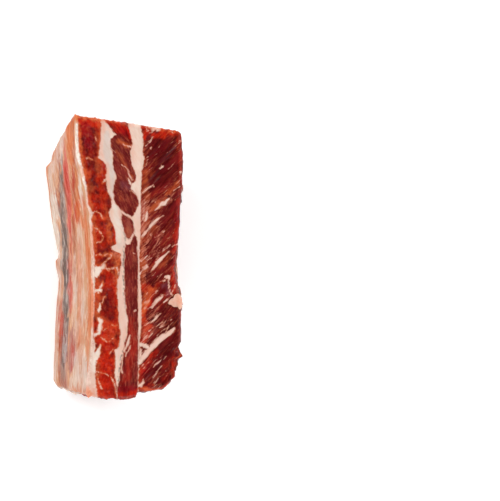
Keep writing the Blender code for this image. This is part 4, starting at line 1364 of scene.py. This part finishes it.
# What each slot's tissue finish has of its own
FINISHES = {
    "bone": {
        "name": "Sawn bone", "wet_roughness": 0.5, "fat_roughness": 0.45, "scatter": 0.12,
        "bump_strength": 0.8, "stain": 0.2,
    },
    "rib_meat": {
        "name": "Rib meat", "bump_strength": 0.7, "stain_reach": 0.8, "stain": 0.6, "coat": 0.07,
        "specular": 0.12,
    },
    "fat": {"name": "Firm fat"},
    "dark_meat": {"name": "Middle muscle", "stain_reach": 0.35, "stain": 0.4},
    "outer_meat": {
        "name": "Outer muscle", "bump_strength": 0.6, "stain_reach": 0.35, "stain": 0.45, "coat": 0.06,
        "specular": 0.12,
    },
}


def length_faces(context):
    return round(LENGTH * MM / context.scene.short_rib_surface.face_size)


class SHORTRIB_OT_skin(bpy.types.Operator):
    """Adds the skin over the bone side of the rib"""

    bl_idname = "short_rib.skin"
    bl_label = "Rib Skin"

    def execute(self, context):
        layer_piece(context, "bone_side_membrane", 0, (length_faces(context), 4, 110), "membrane")
        return {"FINISHED"}


class SHORTRIB_OT_bone(bpy.types.Operator):
    """Adds the rib bone, which shows at both saw cuts"""

    bl_idname = "short_rib.bone"
    bl_label = "Rib Bone"

    def execute(self, context):
        layer_piece(context, "rib_bone", 1, (90, 40, 84), "bone", low=bone_base, high=bone_top)
        return {"FINISHED"}


class SHORTRIB_OT_rib_meat(bpy.types.Operator):
    """Adds the coarse meat above and below the bone"""

    bl_idname = "short_rib.rib_meat"
    bl_label = "Rib Meat"

    def execute(self, context):
        counts = (length_faces(context), 40, 26)
        layer_piece(context, "rib_meat_upper", 1, counts, "rib_meat", low=bone_top)
        layer_piece(context, "rib_meat_lower", 1, counts, "rib_meat", high=bone_base)
        return {"FINISHED"}


class SHORTRIB_OT_fat(bpy.types.Operator):
    """Adds the inner fat and the seam of fat beside the outer muscle"""

    bl_idname = "short_rib.fat"
    bl_label = "Layers of Fat"

    def execute(self, context):
        layer_piece(context, "inner_fat", 2, (length_faces(context), 13, 76), "fat")
        layer_piece(context, "outer_fat_seam", 4, (length_faces(context), 12, 76), "fat")
        return {"FINISHED"}


class SHORTRIB_OT_muscles(bpy.types.Operator):
    """Adds the dark middle muscle and the thick outer muscle"""

    bl_idname = "short_rib.muscles"
    bl_label = "Muscles"

    def execute(self, context):
        layer_piece(context, "middle_muscle", 3, (length_faces(context), 22, 76), "dark_meat")
        layer_piece(context, "outer_muscle", 5, (length_faces(context), 46, 80), "outer_meat")
        return {"FINISHED"}


class SHORTRIB_OT_flap(bpy.types.Operator):
    """Adds the torn flap of fat on the upper cut face"""

    bl_idname = "short_rib.flap"
    bl_label = "Flap of Fat"

    def execute(self, context):
        points, faces = flap_surface()
        xs, ys, zs = points
        colours = context.scene.short_rib_colours
        pale = layered_noise(xs / 2.5, ys / 2.5, zs / 3, 83)
        fat = coated(
            colours, "rosy",
            ("orange", smooth(0.9 * pale) * 0.4),
            ("white", smooth(-0.9 * pale) * 0.4),
        )
        attributes = {
            "white": np.full(len(xs), 2.0), "meat": fat, "fat": fat, "granular": 0 * xs, "busy": 0 * xs,
            "grain": points.T,
        }
        piece = new_object("fat_flap", made_mesh("fat_flap", points.T * MM, faces, attributes))
        piece.data.materials.append(tissue_finish("Flap of fat", bump_strength=0.28))
        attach(piece, "root")
        return {"FINISHED"}


def flap_surface():
    """A pad over an outline, as its points in millimetres and its faces. Each point lies from the middle
    towards the outline by its share; the upper side is the face's height plus a rounded thickness, the root
    of 1 - r^4, and the under side lies just inside the face."""
    middle_x, middle_y = FLAP_MIDDLE
    turn = np.linspace(0, 2 * np.pi, ROUND_COUNT + 1)[:-1]
    share = np.linspace(0, 1, 25)[1:]
    corners = np.array(FLAP_OUTLINE) - FLAP_MIDDLE
    angles = np.arctan2(-corners[:, 1], corners[:, 0])
    reach = np.interp(turn, angles, np.hypot(*corners.T), period=2 * np.pi)
    reach = reach * (1 + 0.05 * noise(turn * 5, 0 * turn, 0 * turn, 81))
    px = np.append(middle_x, middle_x + np.outer(share, reach * np.cos(turn)))
    py = np.append(middle_y, middle_y - np.outer(share, reach * np.sin(turn)))
    r = np.append(0.0, np.repeat(share, ROUND_COUNT))
    x, y = face_place(px, py)
    bend = 1.4 * smooth((px - FLAP_HANGS_FROM) / 5) + 0.3 * noise(x / 2, y / 2, 0 * x, 82)
    upper = HEIGHT + 0.35 + FLAP_THICKNESS * np.sqrt(np.maximum(1 - r**4, 0.0)) - bend
    points = np.stack([np.tile(x, 2), np.tile(y, 2), np.append(upper, HEIGHT - 0.7 - bend)])

    total = len(r)
    last = (len(share) - 1) * ROUND_COUNT
    first = 1 + np.arange(ROUND_COUNT)
    second = np.roll(first, -1)
    ring = ROUND_COUNT * np.arange(len(share) - 1)[:, None]
    further = ring + ROUND_COUNT
    quads = np.stack([first + ring, first + further, second + further, second + ring], axis=-1).reshape(-1, 4)
    fan = np.stack([0 * first, first, second], axis=-1)
    wall = np.stack([first + last + total, second + last + total, second + last, first + last], axis=-1)
    sides = (fan, quads, fan[:, ::-1] + total, quads[:, ::-1] + total, wall)
    return points, [face for side in sides for face in side.tolist()]


def soft_light(name, place, size, power):
    """A square soft light that faces the rib."""
    data = bpy.data.lights.new(name, "AREA")
    data.shape = "SQUARE"
    data.size = size
    data.energy = power
    light = new_object(name, data)
    light.location = place
    light.rotation_euler = (Vector((0.0, 0.0, 0.03)) - Vector(place)).to_track_quat("-Z", "Y").to_euler()


def floor_finish(colour, glow):
    nodes = Nodes("Pale floor")
    grain = nodes.noise(nodes.add("ShaderNodeTexCoord").outputs["Object"], 40.0, detail=2.0)
    tone = nodes.blend(nodes.ramp(grain, 0.3, 0.7, 0.0, 0.03), tuple(colour), (0.8, 0.8, 0.8))
    return nodes.surface(nodes.add("ShaderNodeBsdfPrincipled", {
        "Base Color": tone, "Roughness": 0.9, "Specular IOR Level": 0.1,
        "Emission Color": (1.0, 1.0, 1.0, 1.0), "Emission Strength": glow,
    }))


def backdrop_mesh(radius, height):
    """A bowl turned round Z: flat to the radius, a quarter circle up over half a radius, then a straight
    wall."""
    bend = radius / 2
    arc = np.linspace(0, np.pi / 2, 17)
    reach = np.concatenate([[0.02 * radius], radius + bend * np.sin(arc), [radius + bend]])
    level = np.concatenate([[0.0], bend * (1 - np.cos(arc)), [max(height, bend * 1.01)]])
    turn = np.linspace(0, 2 * np.pi, ROUND_COUNT + 1)[:-1, None]
    points = np.stack([np.cos(turn) * reach, np.sin(turn) * reach, 0 * turn + level], axis=-1).reshape(-1, 3)
    count = len(level)
    spoke = count * np.arange(ROUND_COUNT)[:, None]
    here = spoke + np.arange(count - 1)
    there = np.roll(spoke, -1, axis=0) + np.arange(count - 1)
    faces = np.stack([here, here + 1, there + 1, there], axis=-1).reshape(-1, 4)
    mesh = bpy.data.meshes.new("backdrop")
    mesh.from_pydata(points.tolist(), [], faces.tolist() + [spoke.ravel().tolist()])
    mesh.shade_smooth()
    return mesh


class SHORTRIB_OT_stage(bpy.types.Operator):
    """Adds the pale floor and backdrop, the soft lights and the camera"""

    bl_idname = "short_rib.stage"
    bl_label = "Stage"

    def execute(self, context):
        scene = context.scene
        stage = scene.short_rib_stage
        backdrop = new_object("backdrop", backdrop_mesh(stage.floor_radius, stage.wall_height))
        backdrop.data.materials.append(floor_finish(stage.floor_colour, stage.floor_glow))

        soft_light("window light", (-0.95, 0.75, 1.15), 0.7, stage.light_power)
        soft_light("right light", (1.05, 0.45, 1.05), 0.7, stage.light_power * 0.8)
        soft_light("near light", (0.15, -1.2, 1.05), 0.8, stage.light_power * 0.8)

        world = bpy.data.worlds.new("even light")
        world.use_nodes = True
        background = world.node_tree.nodes["Background"]
        background.inputs["Color"].default_value = (1.0, 1.0, 1.0, 1.0)
        background.inputs["Strength"].default_value = stage.sky
        scene.world = world
        scene.view_settings.view_transform = "Standard"
        scene.view_settings.look = "None"

        lens = bpy.data.cameras.new("camera")
        lens.sensor_width = SENSOR
        lens.lens = SENSOR * stage.camera_height / (PHOTO_SIZE[0] * PIXEL * MM)
        lens.clip_start = 0.05
        scene.camera = new_object("camera", lens)
        across, upward = face_place(*PHOTO_MIDDLE)
        scene.camera.location = (across * MM, upward * MM, HEIGHT * MM + stage.camera_height)
        return {"FINISHED"}


class SHORTRIB_PT_panel(bpy.types.Panel):
    """Lists the pieces of the short rib with their sizes and colours"""

    bl_idname = "SHORTRIB_PT_panel"
    bl_label = "Short Rib"
    bl_space_type = "VIEW_3D"
    bl_region_type = "UI"
    bl_category = "Short Rib"

    def draw(self, context):
        for step in PIECES:
            self.layout.operator(step.bl_idname)
        for group in (getattr(context.scene, title) for title in GROUPS):
            box = self.layout.box()
            for title in group.bl_rna.properties.keys():
                if title not in ("rna_type", "name"):
                    box.prop(group, title)


GROUPS = {
    "short_rib_surface": ShortRibSurface,
    "short_rib_colours": ShortRibColours,
    "short_rib_stage": ShortRibStage,
}
PIECES = (
    SHORTRIB_OT_skin, SHORTRIB_OT_bone, SHORTRIB_OT_rib_meat, SHORTRIB_OT_fat, SHORTRIB_OT_muscles,
    SHORTRIB_OT_flap, SHORTRIB_OT_stage,
)
CLASSES = (*PIECES, SHORTRIB_PT_panel)


def register():
    for title, group in GROUPS.items():
        bpy.utils.register_class(group)
        setattr(bpy.types.Scene, title, bpy.props.PointerProperty(type=group))
    for made in CLASSES:
        bpy.utils.register_class(made)


def unregister():
    for made in reversed(CLASSES):
        bpy.utils.unregister_class(made)
    for title, group in reversed(GROUPS.items()):
        delattr(bpy.types.Scene, title)
        bpy.utils.unregister_class(group)


def main():
    register()
    bpy.ops.short_rib.skin()
    bpy.ops.short_rib.bone()
    bpy.ops.short_rib.rib_meat()
    bpy.ops.short_rib.fat()
    bpy.ops.short_rib.muscles()
    bpy.ops.short_rib.flap()
    bpy.ops.short_rib.stage()


if __name__ == "__main__":
    main()
